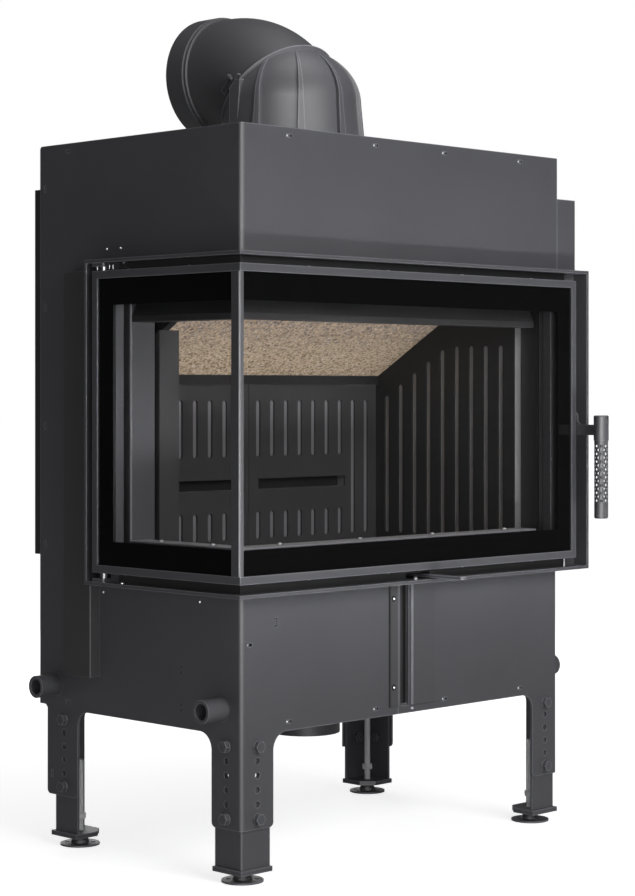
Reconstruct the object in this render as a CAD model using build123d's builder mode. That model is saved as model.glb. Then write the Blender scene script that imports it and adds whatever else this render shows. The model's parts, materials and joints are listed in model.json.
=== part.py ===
from build123d import *
import os
from math import cos, radians, sin, sqrt

# Corner fireplace insert with a flue elbow, glazed on its front and left side.
# Frame: +X to the right along the front, +Y to the back, +Z up, floor at Z 0.
# Distances called "across" run from the carcass's left face, "deep" from its front face.

# Carcass
body_width = 786.0
body_depth = 514.0
body_top = 1207.5
panel_bottom = 236.5
sheet = 4.0
bend_radius = 8.0
arch_radius = 28.0
rear_inset = 12.0
seam_across = 361.5
seam_gap = 0.5
weld_gap = 0.1

# Tabs of the inner plates in the slots of the outer sheets
slot_length = 12.0
slot_height = 5.0
tab_gap = 0.4
tab_short = 1.0
plate_tab_spread = (86.0, 288.0)
side_tab_inset = 78.0
rear_tab_pitch = 205.5
rear_tab_count = 4
end_slot_across = 18.0
end_slot_level = 381.0
clip_across = 75.4
clip_level = 413.0
clip_width = 6.5
clip_height = 13.5
clip_stroke = 2.0
top_plate_drop = 11.5
base_plate_level = 249.0

# Legs
leg_flange = 70.0
leg_bottom = 87.0
rear_leg_inset = 32.0
rear_leg_tab_level = 123.0
rear_notch = 60.0
rear_flange = 71.0
rear_notch_gap = 11.0
leg_hole_radius = 5.2
leg_hole_inset = 35.0
leg_hole_low = 103.7
leg_hole_pitch = 23.0
leg_hole_count = 6
inner_leg_gap = 0.3
inner_leg_flange = 62.0
inner_leg_top = 241.0
foot_plate_top = 24.5
foot_plate = 8.0
foot_plate_size = 68.0
foot_plate_chamfer = 22.0
foot_inset = 35.0
bolt_flats = 17.0
bolt_head = 7.0
bolt_washer_radius = 10.0
bolt_washer = 2.0
bolt_radius = 5.0
rod_radius = 6.0
rod_top = 147.0
rod_gap = 0.06
lock_nut_level = 44.0
lock_nut_height = 10.0
lock_nut_flats = 19.0
disc_radius = 34.0
disc_rim = 3.0
disc_hub_radius = 11.0
disc_hub_top = 16.4
disc_hole_radius = 4.5
disc_hole_out = 22.5

# Carrying tubes and outside air
tube_radius = 19.0
tube_bore = 13.5
tube_reach = 44.0
tube_level = 276.5
tube_front_deep = 47.0
tube_rear_inset = 44.0
duct_radius = 62.5
duct_wall = 2.0
duct_bottom = 176.5
duct_flange_radius = 76.0
duct_flange = 3.0

# Seam channel and cover strip on the lower front
strap_across = 338.5
strap_thick = 2.5
channel_width = 24.0
channel_depth = 12.0
cover_across = 390.5
cover_width = 62.0
cover_thick = 4.0
seam_parts_bottom = 250.0

# Door surround
surround_out = 35.0
surround_plate = 6.0
surround_low = 458.5
surround_high = 1002.5
surround_right = 49.0
surround_deep = 350.0
gap_top = 13.5
gap_bottom = 16.0
gap_right = 31.0
gap_rear = 14.0
seat_face_width = 40.0
seat_rear_inset = 49.0
seat_rear_width = 13.0

# Door
door_depth = 17.5
seat_gap = 0.5
frame_sheet = 3.0
frame_face = 13.0
frame_face_rear = 15.0
glass_thick = 4.0
glass_edge_gap = 1.0
glass_gap = 0.3
retainer_width = 27.0
retainer_rear_width = 38.0
retainer_thick = 2.0
seal_width = 9.0
corner_front = 8.0
corner_side = 21.0
hinge_in = 13.0
hinge_ahead = 17.5
hinge_pin_radius = 4.0
hinge_gap = 0.06
hinge_boss_radius = 7.0
hinge_plate = 6.0
hinge_plate_ahead = 11.0
hinge_plate_behind = 21.0

# Door handle
pivot_back = 9.0
pivot_level = 737.0
pivot_radius = 4.0
lever_thick = 5.0
lever_gap = 2.0
lever_hub_radius = 9.0
lever_arm_low = 703.0
lever_arm_high = 722.0
lever_nose_back = 23.0
grip_ahead = 61.0
grip_beyond = 7.0
grip_low = 554.0
grip_high = 739.0
grip_head_length = 45.0
grip_head_radius = 13.5
grip_radius = 12.5
grip_wall = 1.5
grip_rows = 15
grip_row_pitch = 7.0
grip_hole_radius = 2.5
grip_first_row = 586.0
grip_core_radius = 4.5
grip_cap = 6.0

# Air slider and its lever
lever_offset = 20.0
lever_width = 14.0
lever_bar = 5.0
lever_front_reach = 104.0
slider_travel = 40.0
valve_plate = 4.0
valve_gap = 0.3
port_pitch = 80.0
port_width = 36.0
port_length = 90.0
slider_width = 150.0
slider_length = 115.0

# Fire chamber
chamber_inset = 46.0
liner_thick = 20.0
liner_back_inset = 101.0
liner_rear_top = 795.0
liner_front_deep = 64.0
shell_sheet = 4.0
hearth_top = 490.0
groove_pitch = 35.7
groove_width = 11.0
groove_depth = 4.0
groove_count = 9
groove_first = 23.5
side_groove_first = 28.5
side_groove_pitch = 36.0
groove_upper = (662.0, 766.0)
groove_lower = (510.5, 561.0)
liner_slot_level = 611.5
liner_slot_height = 20.0
liner_slot_length = 228.0
baffle_low = 809.0
baffle_slope = 0.6
baffle_thick = 25.0
baffle_front_deep = 150.0
rail_ahead = 6.0
duct_post_across = 12.0
duct_post_width = 54.5
duct_post_inset = 66.0
duct_post_depth = 20.0
left_liner_across = 75.0
left_liner_thick = 44.0
baffle_left = 82.0
window_low = 530.0
window_high = 935.0
window_right = 50.0
window_rear_inset = 58.0
ledge_top = 533.5
ledge_sheet = 3.0
ledge_front = 8.0
ledge_back = 52.0
lintel_low = 898.0
nose_top = 908.0
nose_out = 14.0
nose_radius = 7.0
slope_top = 934.0
slope_in = 26.0
lintel_top = 948.0

# Heat shields and the column beside the door
shield_side = 53.0
shield_rear = 21.0
shield_sheet = 2.0
shield_side_low = 472.0
shield_rear_low = 499.0
shield_high = 1133.5
shield_side_inset = 9.0
column_out = 21.0
column_gap = 1.0
column_depth = 72.0
column_low = 301.0
column_high = 985.0

# Flue
flue_inset = 221.0
bell_foot_radius = 128.0
bell_shoulder_radius = 119.5
bell_shoulder_up = 92.5
bell_dome = 106.0
bell_wall = 6.0
bell_flange_radius = 142.0
bell_flange = 6.0
rim_margin = 4.5
rim_height = 24.0
rim_taper = 20.0
rib_proud = 7.5
rib_foot_width = 16.0
rib_top_width = 3.0
rib_top = 1392.0
rib_angle = 36.0
lug_margin = 1.0
lug_front_top = 3.0
lug_front_low = 15.0
lug_back_top = 31.0
lug_back_low = 29.0
lug_rise = 16.8
seam_behind = 32.6
seam_level = 1315.2
swivel_gap = 0.3
elbow_radius = 107.0
elbow_bend = 150.0
elbow_wall = 10.0
elbow_flange_reach = 5.5
elbow_flange = 5.0
bead_reach = 3.5
bead_behind = 162.0
socket_radius = 112.8
socket_bore = 100.5
socket_stop_behind = 7.0
socket_end_behind = 49.0
clamp_gap = 1.0
clamp_thick = 3.0
clamp_width = 7.5
tongue_gap = 2.0
clamp_back = 17.4
clamp_height = 19.0

# Places worked out from the sizes above
side_tab_deep = body_depth - side_tab_inset
rear_leg_deep = body_depth - rear_leg_inset
tube_rear_deep = body_depth - tube_rear_inset
liner_back_deep = body_depth - liner_back_inset
shield_side_deep = body_depth - shield_side_inset
window_rear = surround_deep - window_rear_inset
duct_post_deep = surround_deep - duct_post_inset
seat_rear_deep = surround_deep - seat_rear_inset
column_front_deep = surround_deep + column_gap
lever_across = body_width / 2 + lever_offset
flue_deep = body_depth - flue_inset
seam_deep = flue_deep + seam_behind
bead_deep = flue_deep + bead_behind
grip_front = surround_out + grip_ahead + grip_head_radius
left = -(body_width + shield_side - tube_reach) / 2
right = left + body_width
front = -(body_depth + shield_rear - grip_front) / 2
back = front + body_depth
rear_plate_back = back - rear_inset
rear_plate_front = rear_plate_back - sheet
top_plate_top = body_top - top_plate_drop
seam_x = left + seam_across
door_left = left - surround_out
door_front = front - surround_out
surround_end_x = right + surround_right
surround_end_y = front + surround_deep
cavity_low = surround_low + surround_plate
cavity_high = surround_high - surround_plate
door_right = surround_end_x - surround_plate - gap_right
door_rear = surround_end_y - surround_plate - gap_rear
door_low = cavity_low + gap_bottom
door_high = cavity_high - gap_top
seat_out = surround_out - door_depth - seat_gap
hinge_x = door_left + hinge_in
hinge_y = door_rear - hinge_ahead
duct_x = left + body_width / 2
duct_y = front + body_depth / 2
flue_x = left + body_width / 2
flue_y = front + flue_deep
seam_y = front + seam_deep
bell_foot = top_plate_top + bell_flange
bell_shoulder = bell_foot + bell_shoulder_up
tilt = sqrt(0.5)
lug_top = seam_level + lug_rise
elbow_flange_radius = elbow_radius + elbow_flange_reach
bead_radius = elbow_radius + bead_reach
clamp_out = elbow_flange_radius + clamp_gap
clamp_tongue = elbow_radius + tongue_gap
seam_plane = Plane(origin=(flue_x, seam_y, seam_level), x_dir=(1, 0, 0), z_dir=(0, tilt, tilt))
floor_top = surround_low
liner_back_y = front + liner_back_deep
liner_right_x = right - chamber_inset
side_groove_room = liner_back_deep - side_groove_first - liner_front_deep - groove_width
side_groove_count = int(side_groove_room / side_groove_pitch) + 1
liner_left_x = left + chamber_inset
shell_back_y = liner_back_y + liner_thick
upper_tabs = [left + body_width / 2 + side * spread for spread in plate_tab_spread for side in (-1, 1)]
leg_hole_levels = [leg_hole_low + leg_hole_pitch * step for step in range(leg_hole_count)]
bolt_levels = (leg_hole_levels[0], leg_hole_levels[-1])
arch_height = 2 * (panel_bottom - leg_bottom)


def front_plane(y):
    """Upright plane that faces the front, with X and Z as its own axes."""
    return Plane.XZ.offset(-y)


def side_plane(x):
    """Upright plane that faces the right, with Y and Z as its own axes."""
    return Plane.YZ.offset(x)


def block(x_low, x_high, y_low, y_high, z_low, z_high, mode=Mode.ADD):
    """Straight plate or cut between two corners."""
    with Locations(((x_low + x_high) / 2, (y_low + y_high) / 2, (z_low + z_high) / 2)):
        Box(x_high - x_low, y_high - y_low, z_high - z_low, mode=mode)


def corner_band(out_far, out_near, x_end, y_end, z_low, z_high, mode=Mode.ADD):
    """Band round the glazed corner, from one distance outside the carcass to another."""
    x_far = left - out_far
    y_far = front - out_far
    x_near = left - out_near
    y_near = front - out_near
    with BuildSketch(Plane.XY.offset(z_low)) as outline:
        with BuildLine():
            Polyline(
                (x_far, y_far), (x_end, y_far), (x_end, y_near), (x_near, y_near),
                (x_near, y_end), (x_far, y_end), close=True,
            )
        make_face()
    extrude(outline.sketch, amount=z_high - z_low, mode=mode)


def bent_strip(x_end, x_bend, y_bend, y_end, z_low, z_high, inward):
    """Sheet bent once at an upright corner; inward is +1 when the metal lies towards +X."""
    with BuildSketch(Plane.XY.offset(z_low)) as outline:
        with BuildLine():
            outer = FilletPolyline((x_end, y_bend), (x_bend, y_bend), (x_bend, y_end), radius=bend_radius)
            inner = FilletPolyline(
                (x_end, y_bend + sheet), (x_bend + inward * sheet, y_bend + sheet),
                (x_bend + inward * sheet, y_end), radius=bend_radius - sheet,
            )
            Line(outer @ 0, inner @ 0)
            Line(outer @ 1, inner @ 1)
        make_face()
    extrude(outline.sketch, amount=z_high - z_low)


def cut_front_slot(x, z, length, height):
    """Slot through a front sheet."""
    with BuildSketch(front_plane(front + sheet + 1)) as slot:
        with Locations((x, z)):
            Rectangle(length, height)
    extrude(slot.sketch, amount=sheet + 2, mode=Mode.SUBTRACT)


def cut_side_slot(x_face, y, z, length, height):
    """Slot through a side sheet whose lower face in X is x_face."""
    with BuildSketch(side_plane(x_face - 1)) as slot:
        with Locations((y, z)):
            Rectangle(length, height)
    extrude(slot.sketch, amount=sheet + 2, mode=Mode.SUBTRACT)


def cut_side_openings(x_face):
    """Slots, tube holes, leg arch and leg holes in one side sheet."""
    for level in (top_plate_top - sheet / 2, base_plate_level + sheet / 2):
        cut_side_slot(x_face, front + side_tab_deep, level, slot_length, slot_height)
    for step in range(rear_tab_count):
        level = shield_high - rear_tab_pitch * step
        cut_side_slot(x_face, rear_plate_back - sheet / 2, level, slot_height, slot_length)
    cut_side_slot(x_face, front + rear_leg_deep - sheet / 2, rear_leg_tab_level, slot_height, slot_length)
    with BuildSketch(side_plane(x_face - 1)) as round_holes:
        with Locations((front + tube_front_deep, tube_level), (front + tube_rear_deep, tube_level)):
            Circle(tube_radius + weld_gap)
        for level in leg_hole_levels:
            with Locations((front + leg_hole_inset, level), (front + rear_leg_deep - leg_hole_inset, level)):
                Circle(leg_hole_radius)
    extrude(round_holes.sketch, amount=sheet + 2, mode=Mode.SUBTRACT)
    arch_depth = rear_leg_deep - rear_flange - leg_flange
    with BuildSketch(side_plane(x_face - 1)) as arches:
        with Locations((front + leg_flange + arch_depth / 2, panel_bottom - arch_height / 2)):
            RectangleRounded(arch_depth, arch_height, arch_radius)
        notch_y = front + rear_leg_deep + rear_notch_gap + rear_notch / 2
        with Locations((notch_y, panel_bottom + 4 - arch_height / 2)):
            RectangleRounded(rear_notch, arch_height, bend_radius)
    extrude(arches.sketch, amount=sheet + 2, mode=Mode.SUBTRACT)


# Left sheet: left side, upper front and left part of the lower front, bent round the corner
with BuildPart() as casing_left:
    bent_strip(right, left, front, back, leg_bottom, body_top, 1)
    block(left - 1, right + 1, front - 1, surround_end_y, surround_low, surround_high, Mode.SUBTRACT)
    block(seam_x, right + 1, front - 1, front + bend_radius, leg_bottom - 1, surround_low + 1, Mode.SUBTRACT)
    with BuildSketch(front_plane(front + sheet + 1)):
        with Locations((left + leg_flange + body_width / 2, panel_bottom - arch_height / 2)):
            RectangleRounded(body_width, arch_height, arch_radius)
    extrude(amount=sheet + 2, mode=Mode.SUBTRACT)
    cut_side_openings(left)
    with BuildSketch(front_plane(front + sheet + 1)):
        for hole_level in leg_hole_levels:
            with Locations((left + leg_hole_inset, hole_level)):
                Circle(leg_hole_radius)
    extrude(amount=sheet + 2, mode=Mode.SUBTRACT)
    for tab_x in upper_tabs:
        cut_front_slot(tab_x, top_plate_top - sheet / 2, slot_length, slot_height)
    for tab_x in upper_tabs:
        if tab_x < seam_x:
            cut_front_slot(tab_x, base_plate_level + sheet / 2, slot_length, slot_height)
    cut_front_slot(left + end_slot_across, end_slot_level, slot_length - 2, slot_height)
    with BuildSketch(front_plane(front + sheet + 1)):
        with Locations((left + clip_across, clip_level)):
            Rectangle(clip_width, clip_height)
        with Locations((left + clip_across - clip_stroke, clip_level)):
            Rectangle(clip_width, clip_height - 2 * clip_stroke, mode=Mode.SUBTRACT)
    extrude(amount=sheet + 2, mode=Mode.SUBTRACT)
    leg_ends = casing_left.edges().filter_by_position(Axis.Z, leg_bottom - 0.1, leg_bottom + 0.1)
    fillet(leg_ends.filter_by(lambda edge: abs(edge.length - sheet) < 0.01), bend_radius)
    top_rear = casing_left.edges().filter_by(Axis.X).group_by(Axis.Z)[-1].sort_by(Axis.Y)[-1]
    fillet(top_rear, bend_radius - sheet / 2)
casing_left.part.label = "casing_left"

# Right sheet: right side and right part of the lower front
with BuildPart() as casing_right:
    bent_strip(seam_x + seam_gap, right, front, back, leg_bottom, body_top, -1)
    block(seam_x, right + 1, front - 1, front + bend_radius, surround_low, body_top + 1, Mode.SUBTRACT)
    block(right - sheet, right, front + sheet, front + bend_radius, surround_low, body_top)
    with BuildSketch(front_plane(front + sheet + 1)):
        with Locations((right - leg_flange - body_width / 2, panel_bottom - arch_height / 2)):
            RectangleRounded(body_width, arch_height, arch_radius)
        with Locations((seam_x + 2 + channel_width / 2, (seam_parts_bottom + surround_low) / 2)):
            Rectangle(channel_width, surround_low - seam_parts_bottom)
    extrude(amount=sheet + 2, mode=Mode.SUBTRACT)
    cut_side_openings(right - sheet)
    with BuildSketch(front_plane(front + sheet + 1)):
        for hole_level in leg_hole_levels:
            with Locations((right - leg_hole_inset, hole_level)):
                Circle(leg_hole_radius)
    extrude(amount=sheet + 2, mode=Mode.SUBTRACT)
    for tab_x in upper_tabs:
        if tab_x > seam_x:
            cut_front_slot(tab_x, base_plate_level + sheet / 2, slot_length, slot_height)
    leg_ends = casing_right.edges().filter_by_position(Axis.Z, leg_bottom - 0.1, leg_bottom + 0.1)
    fillet(leg_ends.filter_by(lambda edge: abs(edge.length - sheet) < 0.01), bend_radius)
casing_right.part.label = "casing_right"


def add_front_tabs(level):
    """Tabs of a level plate in the slots of the front sheets."""
    for tab_x in upper_tabs:
        block(
            tab_x - slot_length / 2 + tab_gap, tab_x + slot_length / 2 - tab_gap,
            front + tab_short, front + sheet + 1, level, level + sheet,
        )


def relieve_front_corners(level):
    """Notches where a level plate passes the bends of the outer sheets."""
    relief = bend_radius - sheet
    for x_corner in (left + sheet, right - sheet):
        block(
            x_corner - relief, x_corner + relief, front + sheet - 1, front + sheet + relief,
            level - 1, level + sheet + 1, Mode.SUBTRACT,
        )


def add_side_tabs(y, length, z, height):
    """Tabs of an inner plate in the slots of both side sheets."""
    for x_low, x_high in ((left + tab_short, left + sheet + 1), (right - sheet - 1, right - tab_short)):
        block(x_low, x_high, y - length / 2, y + length / 2, z - height / 2, z + height / 2)


tab_length = slot_length - 2 * tab_gap

# Top plate with the flue hole
with BuildPart() as top_plate:
    block(left + sheet, right - sheet, front + sheet, rear_plate_front, top_plate_top - sheet, top_plate_top)
    relieve_front_corners(top_plate_top - sheet)
    add_front_tabs(top_plate_top - sheet)
    add_side_tabs(front + side_tab_deep, tab_length, top_plate_top - sheet / 2, sheet)
    with BuildSketch(Plane.XY.offset(top_plate_top - sheet - 1)):
        with Locations((flue_x, flue_y)):
            Circle(bell_foot_radius - bell_wall)
    extrude(amount=sheet + 2, mode=Mode.SUBTRACT)
top_plate.part.label = "top_plate"

# Base plate over the legs, with the air duct's hole
with BuildPart() as base_plate:
    block(
        left + sheet, right - sheet, front + sheet, rear_plate_front,
        base_plate_level, base_plate_level + sheet,
    )
    relieve_front_corners(base_plate_level)
    add_front_tabs(base_plate_level)
    add_side_tabs(front + side_tab_deep, tab_length, base_plate_level + sheet / 2, sheet)
    with BuildSketch(Plane.XY.offset(base_plate_level - 1)):
        with Locations((duct_x, duct_y)):
            Circle(duct_radius + weld_gap)
    extrude(amount=sheet + 2, mode=Mode.SUBTRACT)
base_plate.part.label = "base_plate"

# Rear plate between the side sheets
with BuildPart() as rear_plate:
    block(left + sheet, right - sheet, rear_plate_front, rear_plate_back, panel_bottom, body_top)
    for step in range(rear_tab_count):
        add_side_tabs(rear_plate_back - sheet / 2, sheet, shield_high - rear_tab_pitch * step, tab_length)
rear_plate.part.label = "rear_plate"

# Rear plate of the base, with the back flanges of the rear legs
with BuildPart() as rear_base_plate:
    block(
        left + sheet, right - sheet, front + rear_leg_deep - sheet, front + rear_leg_deep,
        leg_bottom, base_plate_level,
    )
    add_side_tabs(front + rear_leg_deep - sheet / 2, sheet, rear_leg_tab_level, tab_length)
    arch_width = body_width - 2 * leg_flange
    with BuildSketch(front_plane(front + rear_leg_deep + 1)):
        with Locations((left + body_width / 2, panel_bottom - arch_height / 2)):
            RectangleRounded(arch_width, arch_height, arch_radius)
        for hole_level in leg_hole_levels:
            with Locations((left + leg_hole_inset, hole_level), (right - leg_hole_inset, hole_level)):
                Circle(leg_hole_radius)
    extrude(amount=sheet + 2, mode=Mode.SUBTRACT)
rear_base_plate.part.label = "rear_base_plate"

# Joggled strip that joins the two lower front sheets and closes the channel beside it
with BuildPart() as seam_channel:
    channel_left = seam_x + 2
    channel_right = channel_left + channel_width
    with BuildSketch(Plane.XY.offset(seam_parts_bottom)):
        with BuildLine():
            Polyline(
                (left + strap_across, front - strap_thick),
                (channel_left + strap_thick, front - strap_thick),
                (channel_left + strap_thick, front + channel_depth),
                (channel_right - strap_thick, front + channel_depth),
                (channel_right - strap_thick, front + sheet),
                (channel_right, front + sheet),
                (channel_right, front + channel_depth + strap_thick),
                (channel_left, front + channel_depth + strap_thick),
                (channel_left, front),
                (left + strap_across, front),
                close=True,
            )
        make_face()
    extrude(amount=surround_low - seam_parts_bottom)
    for low, high in (
        (seam_parts_bottom - 1, base_plate_level + sheet + weld_gap),
        (floor_top - sheet - weld_gap, floor_top + 1),
    ):
        block(
            left + strap_across, channel_right + 1, front + sheet - weld_gap, front + 2 * channel_depth,
            low, high, Mode.SUBTRACT,
        )
    folds = seam_channel.edges().filter_by(Axis.Z).filter_by_position(Axis.Y, front - 3, front - 2)
    fillet(folds.sort_by(Axis.X)[-1], strap_thick * 0.6)
seam_channel.part.label = "seam_channel"

# Cover strip right of the channel
with BuildPart() as cover_strip:
    block(
        left + cover_across, left + cover_across + cover_width, front - cover_thick, front,
        seam_parts_bottom, surround_low,
    )
    chamfer(cover_strip.edges().filter_by(Axis.Z).group_by(Axis.Y)[0], cover_thick / 5)
cover_strip.part.label = "cover_strip"

# Door surround: top and bottom plates, right end, rear end and a closing flange
with BuildPart() as door_surround:
    corner_band(surround_out, 0, surround_end_x, surround_end_y, surround_low, surround_high)
    corner_band(
        surround_out + 1, -1, surround_end_x - surround_plate, surround_end_y - surround_plate,
        cavity_low, cavity_high, Mode.SUBTRACT,
    )
    block(right, surround_end_x - surround_plate, front - sheet, front, cavity_low, cavity_high)
door_surround.part.label = "door_surround"

lever_slot_low = left + lever_across - slider_travel - lever_width / 2 - 3
lever_slot_high = left + lever_across + lever_width / 2 + 3
lever_slot_top = floor_top + 2 * (valve_plate + valve_gap) + lever_bar + 3

# Window plate in the carcass's own planes
with BuildPart() as window_plate:
    corner_band(0, -sheet, right, surround_end_y, surround_low, surround_high)
    corner_band(
        1, -sheet - 1, right - window_right, front + window_rear, window_low, window_high, Mode.SUBTRACT
    )
    block(
        lever_slot_low, lever_slot_high, front - 1, front + sheet + 1,
        floor_top, lever_slot_top, Mode.SUBTRACT,
    )
window_plate.part.label = "window_plate"

# Seat that the door's seal closes on
with BuildPart() as door_seat:
    corner_band(seat_out, 0, right, front + seat_rear_deep, cavity_low, cavity_high)
    corner_band(
        seat_out + 1, -1, right - seat_face_width, front + seat_rear_deep - seat_rear_width,
        window_low - 10, window_high + 5, Mode.SUBTRACT,
    )
    block(
        lever_slot_low, lever_slot_high, front - seat_out - 1, front + 1,
        cavity_low - 1, lever_slot_top, Mode.SUBTRACT,
    )
door_seat.part.label = "door_seat"

# Column on the left side, behind the surround
with BuildPart() as side_column:
    block(
        left - column_out, left, front + column_front_deep, front + column_front_deep + column_depth,
        column_low, column_high,
    )
    fillet(side_column.edges().filter_by(Axis.Z).group_by(Axis.X)[0], shield_sheet)
    block(
        left - column_out + shield_sheet, left + 1,
        front + column_front_deep + shield_sheet, front + column_front_deep + column_depth - shield_sheet,
        column_low + shield_sheet, column_high - shield_sheet, Mode.SUBTRACT,
    )
side_column.part.label = "side_column"

# Heat shields, folded trays open towards the carcass
with BuildPart() as right_shield:
    block(right, right + shield_side, front, front + shield_side_deep, shield_side_low, shield_high)
    fillet(right_shield.edges().filter_by(Axis.Z).group_by(Axis.X)[-1], shield_sheet)
    block(
        right - 1, right + shield_side - shield_sheet, front + shield_sheet,
        front + shield_side_deep - shield_sheet, shield_side_low + shield_sheet,
        shield_high - shield_sheet, Mode.SUBTRACT,
    )
right_shield.part.label = "right_shield"

with BuildPart() as rear_shield:
    block(left + sheet, right - sheet, rear_plate_back, back + shield_rear, shield_rear_low, shield_high)
    fillet(rear_shield.edges().filter_by(Axis.Z).group_by(Axis.Y)[-1], shield_sheet)
    block(
        left + sheet + shield_sheet, right - sheet - shield_sheet, rear_plate_back - 1,
        back + shield_rear - shield_sheet, shield_rear_low + shield_sheet,
        shield_high - shield_sheet, Mode.SUBTRACT,
    )
rear_shield.part.label = "rear_shield"

# Two tubes that carrying bars go through
with BuildPart() as carrying_tubes:
    with BuildSketch(side_plane(left - tube_reach)):
        with Locations((front + tube_front_deep, tube_level), (front + tube_rear_deep, tube_level)):
            Circle(tube_radius)
            Circle(tube_bore, mode=Mode.SUBTRACT)
    extrude(amount=body_width + 2 * tube_reach)
carrying_tubes.part.label = "carrying_tubes"

# Outside air duct, whose lower end is the connection collar under a flange
with BuildPart() as air_duct:
    with BuildSketch(Plane.XY.offset(duct_bottom)):
        with Locations((duct_x, duct_y)):
            Circle(duct_radius)
            Circle(duct_radius - duct_wall, mode=Mode.SUBTRACT)
    extrude(amount=floor_top - sheet - duct_bottom)
    with BuildSketch(Plane.XY.offset(base_plate_level)):
        with Locations((duct_x, duct_y)):
            Circle(duct_flange_radius)
            Circle(duct_radius - duct_wall, mode=Mode.SUBTRACT)
    extrude(amount=-duct_flange)
air_duct.part.label = "air_duct"

# Firebox floor
with BuildPart() as firebox_floor:
    block(left + sheet, right - sheet, front + sheet, rear_plate_front, floor_top - sheet, floor_top)
    relieve_front_corners(floor_top - sheet)
    with BuildSketch(Plane.XY.offset(floor_top - sheet - 1)):
        with Locations((duct_x, duct_y)):
            Circle(duct_radius - duct_wall)
    extrude(amount=sheet + 2, mode=Mode.SUBTRACT)
firebox_floor.part.label = "firebox_floor"

# Firebox shell: a sheet bent round the right, the back and the left of the fire
shell_left_x = liner_left_x - liner_thick
shell_right_x = liner_right_x + liner_thick
shell_left_front = front + duct_post_deep + duct_post_depth
with BuildPart() as firebox_shell:
    with BuildSketch(Plane.XY.offset(floor_top)):
        with BuildLine():
            outside = FilletPolyline(
                (shell_right_x + shell_sheet, front + sheet),
                (shell_right_x + shell_sheet, shell_back_y + shell_sheet),
                (shell_left_x - shell_sheet, shell_back_y + shell_sheet),
                (shell_left_x - shell_sheet, shell_left_front),
                radius=bend_radius,
            )
            inside = FilletPolyline(
                (shell_right_x, front + sheet), (shell_right_x, shell_back_y),
                (shell_left_x, shell_back_y), (shell_left_x, shell_left_front),
                radius=bend_radius - shell_sheet,
            )
            Line(outside @ 0, inside @ 0)
            Line(outside @ 1, inside @ 1)
        make_face()
    extrude(amount=top_plate_top - sheet - floor_top)
firebox_shell.part.label = "firebox_shell"

# Seat of the air slider, with two ports over the duct
slider_x = left + lever_across - slider_travel / 2
with BuildPart() as air_valve_seat:
    block(
        duct_x - slider_width / 2 - slider_travel / 2, duct_x + slider_width / 2 + slider_travel / 2,
        duct_y - slider_length / 2, duct_y + slider_length / 2, floor_top, floor_top + valve_plate,
    )
    with BuildSketch(Plane.XY.offset(floor_top - 1)):
        with Locations((duct_x - port_pitch / 2, duct_y), (duct_x + port_pitch / 2, duct_y)):
            Rectangle(port_width, port_length)
    extrude(amount=valve_plate + 2, mode=Mode.SUBTRACT)
air_valve_seat.part.label = "air_valve_seat"

# Air slider with the lever that comes out under the door
slider_low = floor_top + valve_plate + valve_gap
slider_high = slider_low + valve_plate
lever_x = left + lever_across
with BuildPart() as air_slider:
    block(
        duct_x - slider_width / 2, duct_x + slider_width / 2,
        duct_y - slider_length / 2, duct_y + slider_length / 2, slider_low, slider_high,
    )
    with BuildSketch(Plane.XY.offset(slider_low - 1)):
        with Locations((duct_x - port_pitch / 2, duct_y), (duct_x + port_pitch / 2, duct_y)):
            Rectangle(port_width, port_length)
    extrude(amount=valve_plate + 2, mode=Mode.SUBTRACT)
    block(
        lever_x - lever_width / 2, lever_x + lever_width / 2, front - lever_front_reach,
        duct_y - port_length / 2 - 4, slider_high, slider_high + lever_bar,
    )
    tip = air_slider.edges().filter_by(Axis.Z).group_by(Axis.Y)[0]
    fillet(tip, lever_width / 3)
air_slider.part.label = "air_slider"

# Hearth plate on its feet, hollow below for the slider and its lever
hearth_front = front + ledge_back - 8
pocket_top = slider_high + lever_bar + 2
with BuildPart() as hearth:
    block(shell_left_x + 30, shell_right_x, hearth_front, shell_back_y, floor_top, hearth_top)
    block(
        duct_x - slider_width / 2 - slider_travel - 6, duct_x + slider_width / 2 + slider_travel + 6,
        duct_y - slider_length / 2 - 4, duct_y + slider_length / 2 + 4,
        floor_top - 1, pocket_top, Mode.SUBTRACT,
    )
    block(
        lever_slot_low, lever_slot_high, hearth_front - 1, duct_y, floor_top - 1, pocket_top, Mode.SUBTRACT
    )
    chamfer(hearth.edges().filter_by(Axis.X).group_by(Axis.Z)[-1].sort_by(Axis.Y)[0], liner_thick / 5)
    chamfer(hearth.edges().filter_by(Axis.Z).group_by(Axis.X)[-1].sort_by(Axis.Y)[-1], shell_sheet)
hearth.part.label = "hearth"

liner_low = hearth_top


def groove_levels(index):
    """Lowest and highest points of the grooves at one place in the row."""
    if index >= groove_count - 2:
        return [(groove_lower[0], groove_upper[1])]
    return [groove_lower, groove_upper]


def rear_liner(x_low, x_high, seam_side):
    """Rear lining plate with its grooves and its slot; seam_side is +1 on the right plate."""
    with BuildPart() as liner:
        block(x_low, x_high, liner_back_y, shell_back_y, liner_low, liner_rear_top)
        seam_edge = x_low if seam_side > 0 else x_high
        with BuildSketch(front_plane(liner_back_y + groove_depth)):
            for index in range(groove_count):
                groove_x = seam_edge + seam_side * (groove_first + groove_pitch * index)
                for low, high in groove_levels(index):
                    with Locations((groove_x, (low + high) / 2)):
                        SlotOverall(high - low, groove_width, rotation=90)
        extrude(amount=groove_depth + 1, mode=Mode.SUBTRACT)
        slot_x = seam_edge + seam_side * (groove_first + liner_slot_length / 2)
        with BuildSketch(front_plane(shell_back_y + 1)):
            with Locations((slot_x, liner_slot_level)):
                Rectangle(liner_slot_length, liner_slot_height)
        extrude(amount=liner_thick + 2, mode=Mode.SUBTRACT)
    return liner.part


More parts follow.
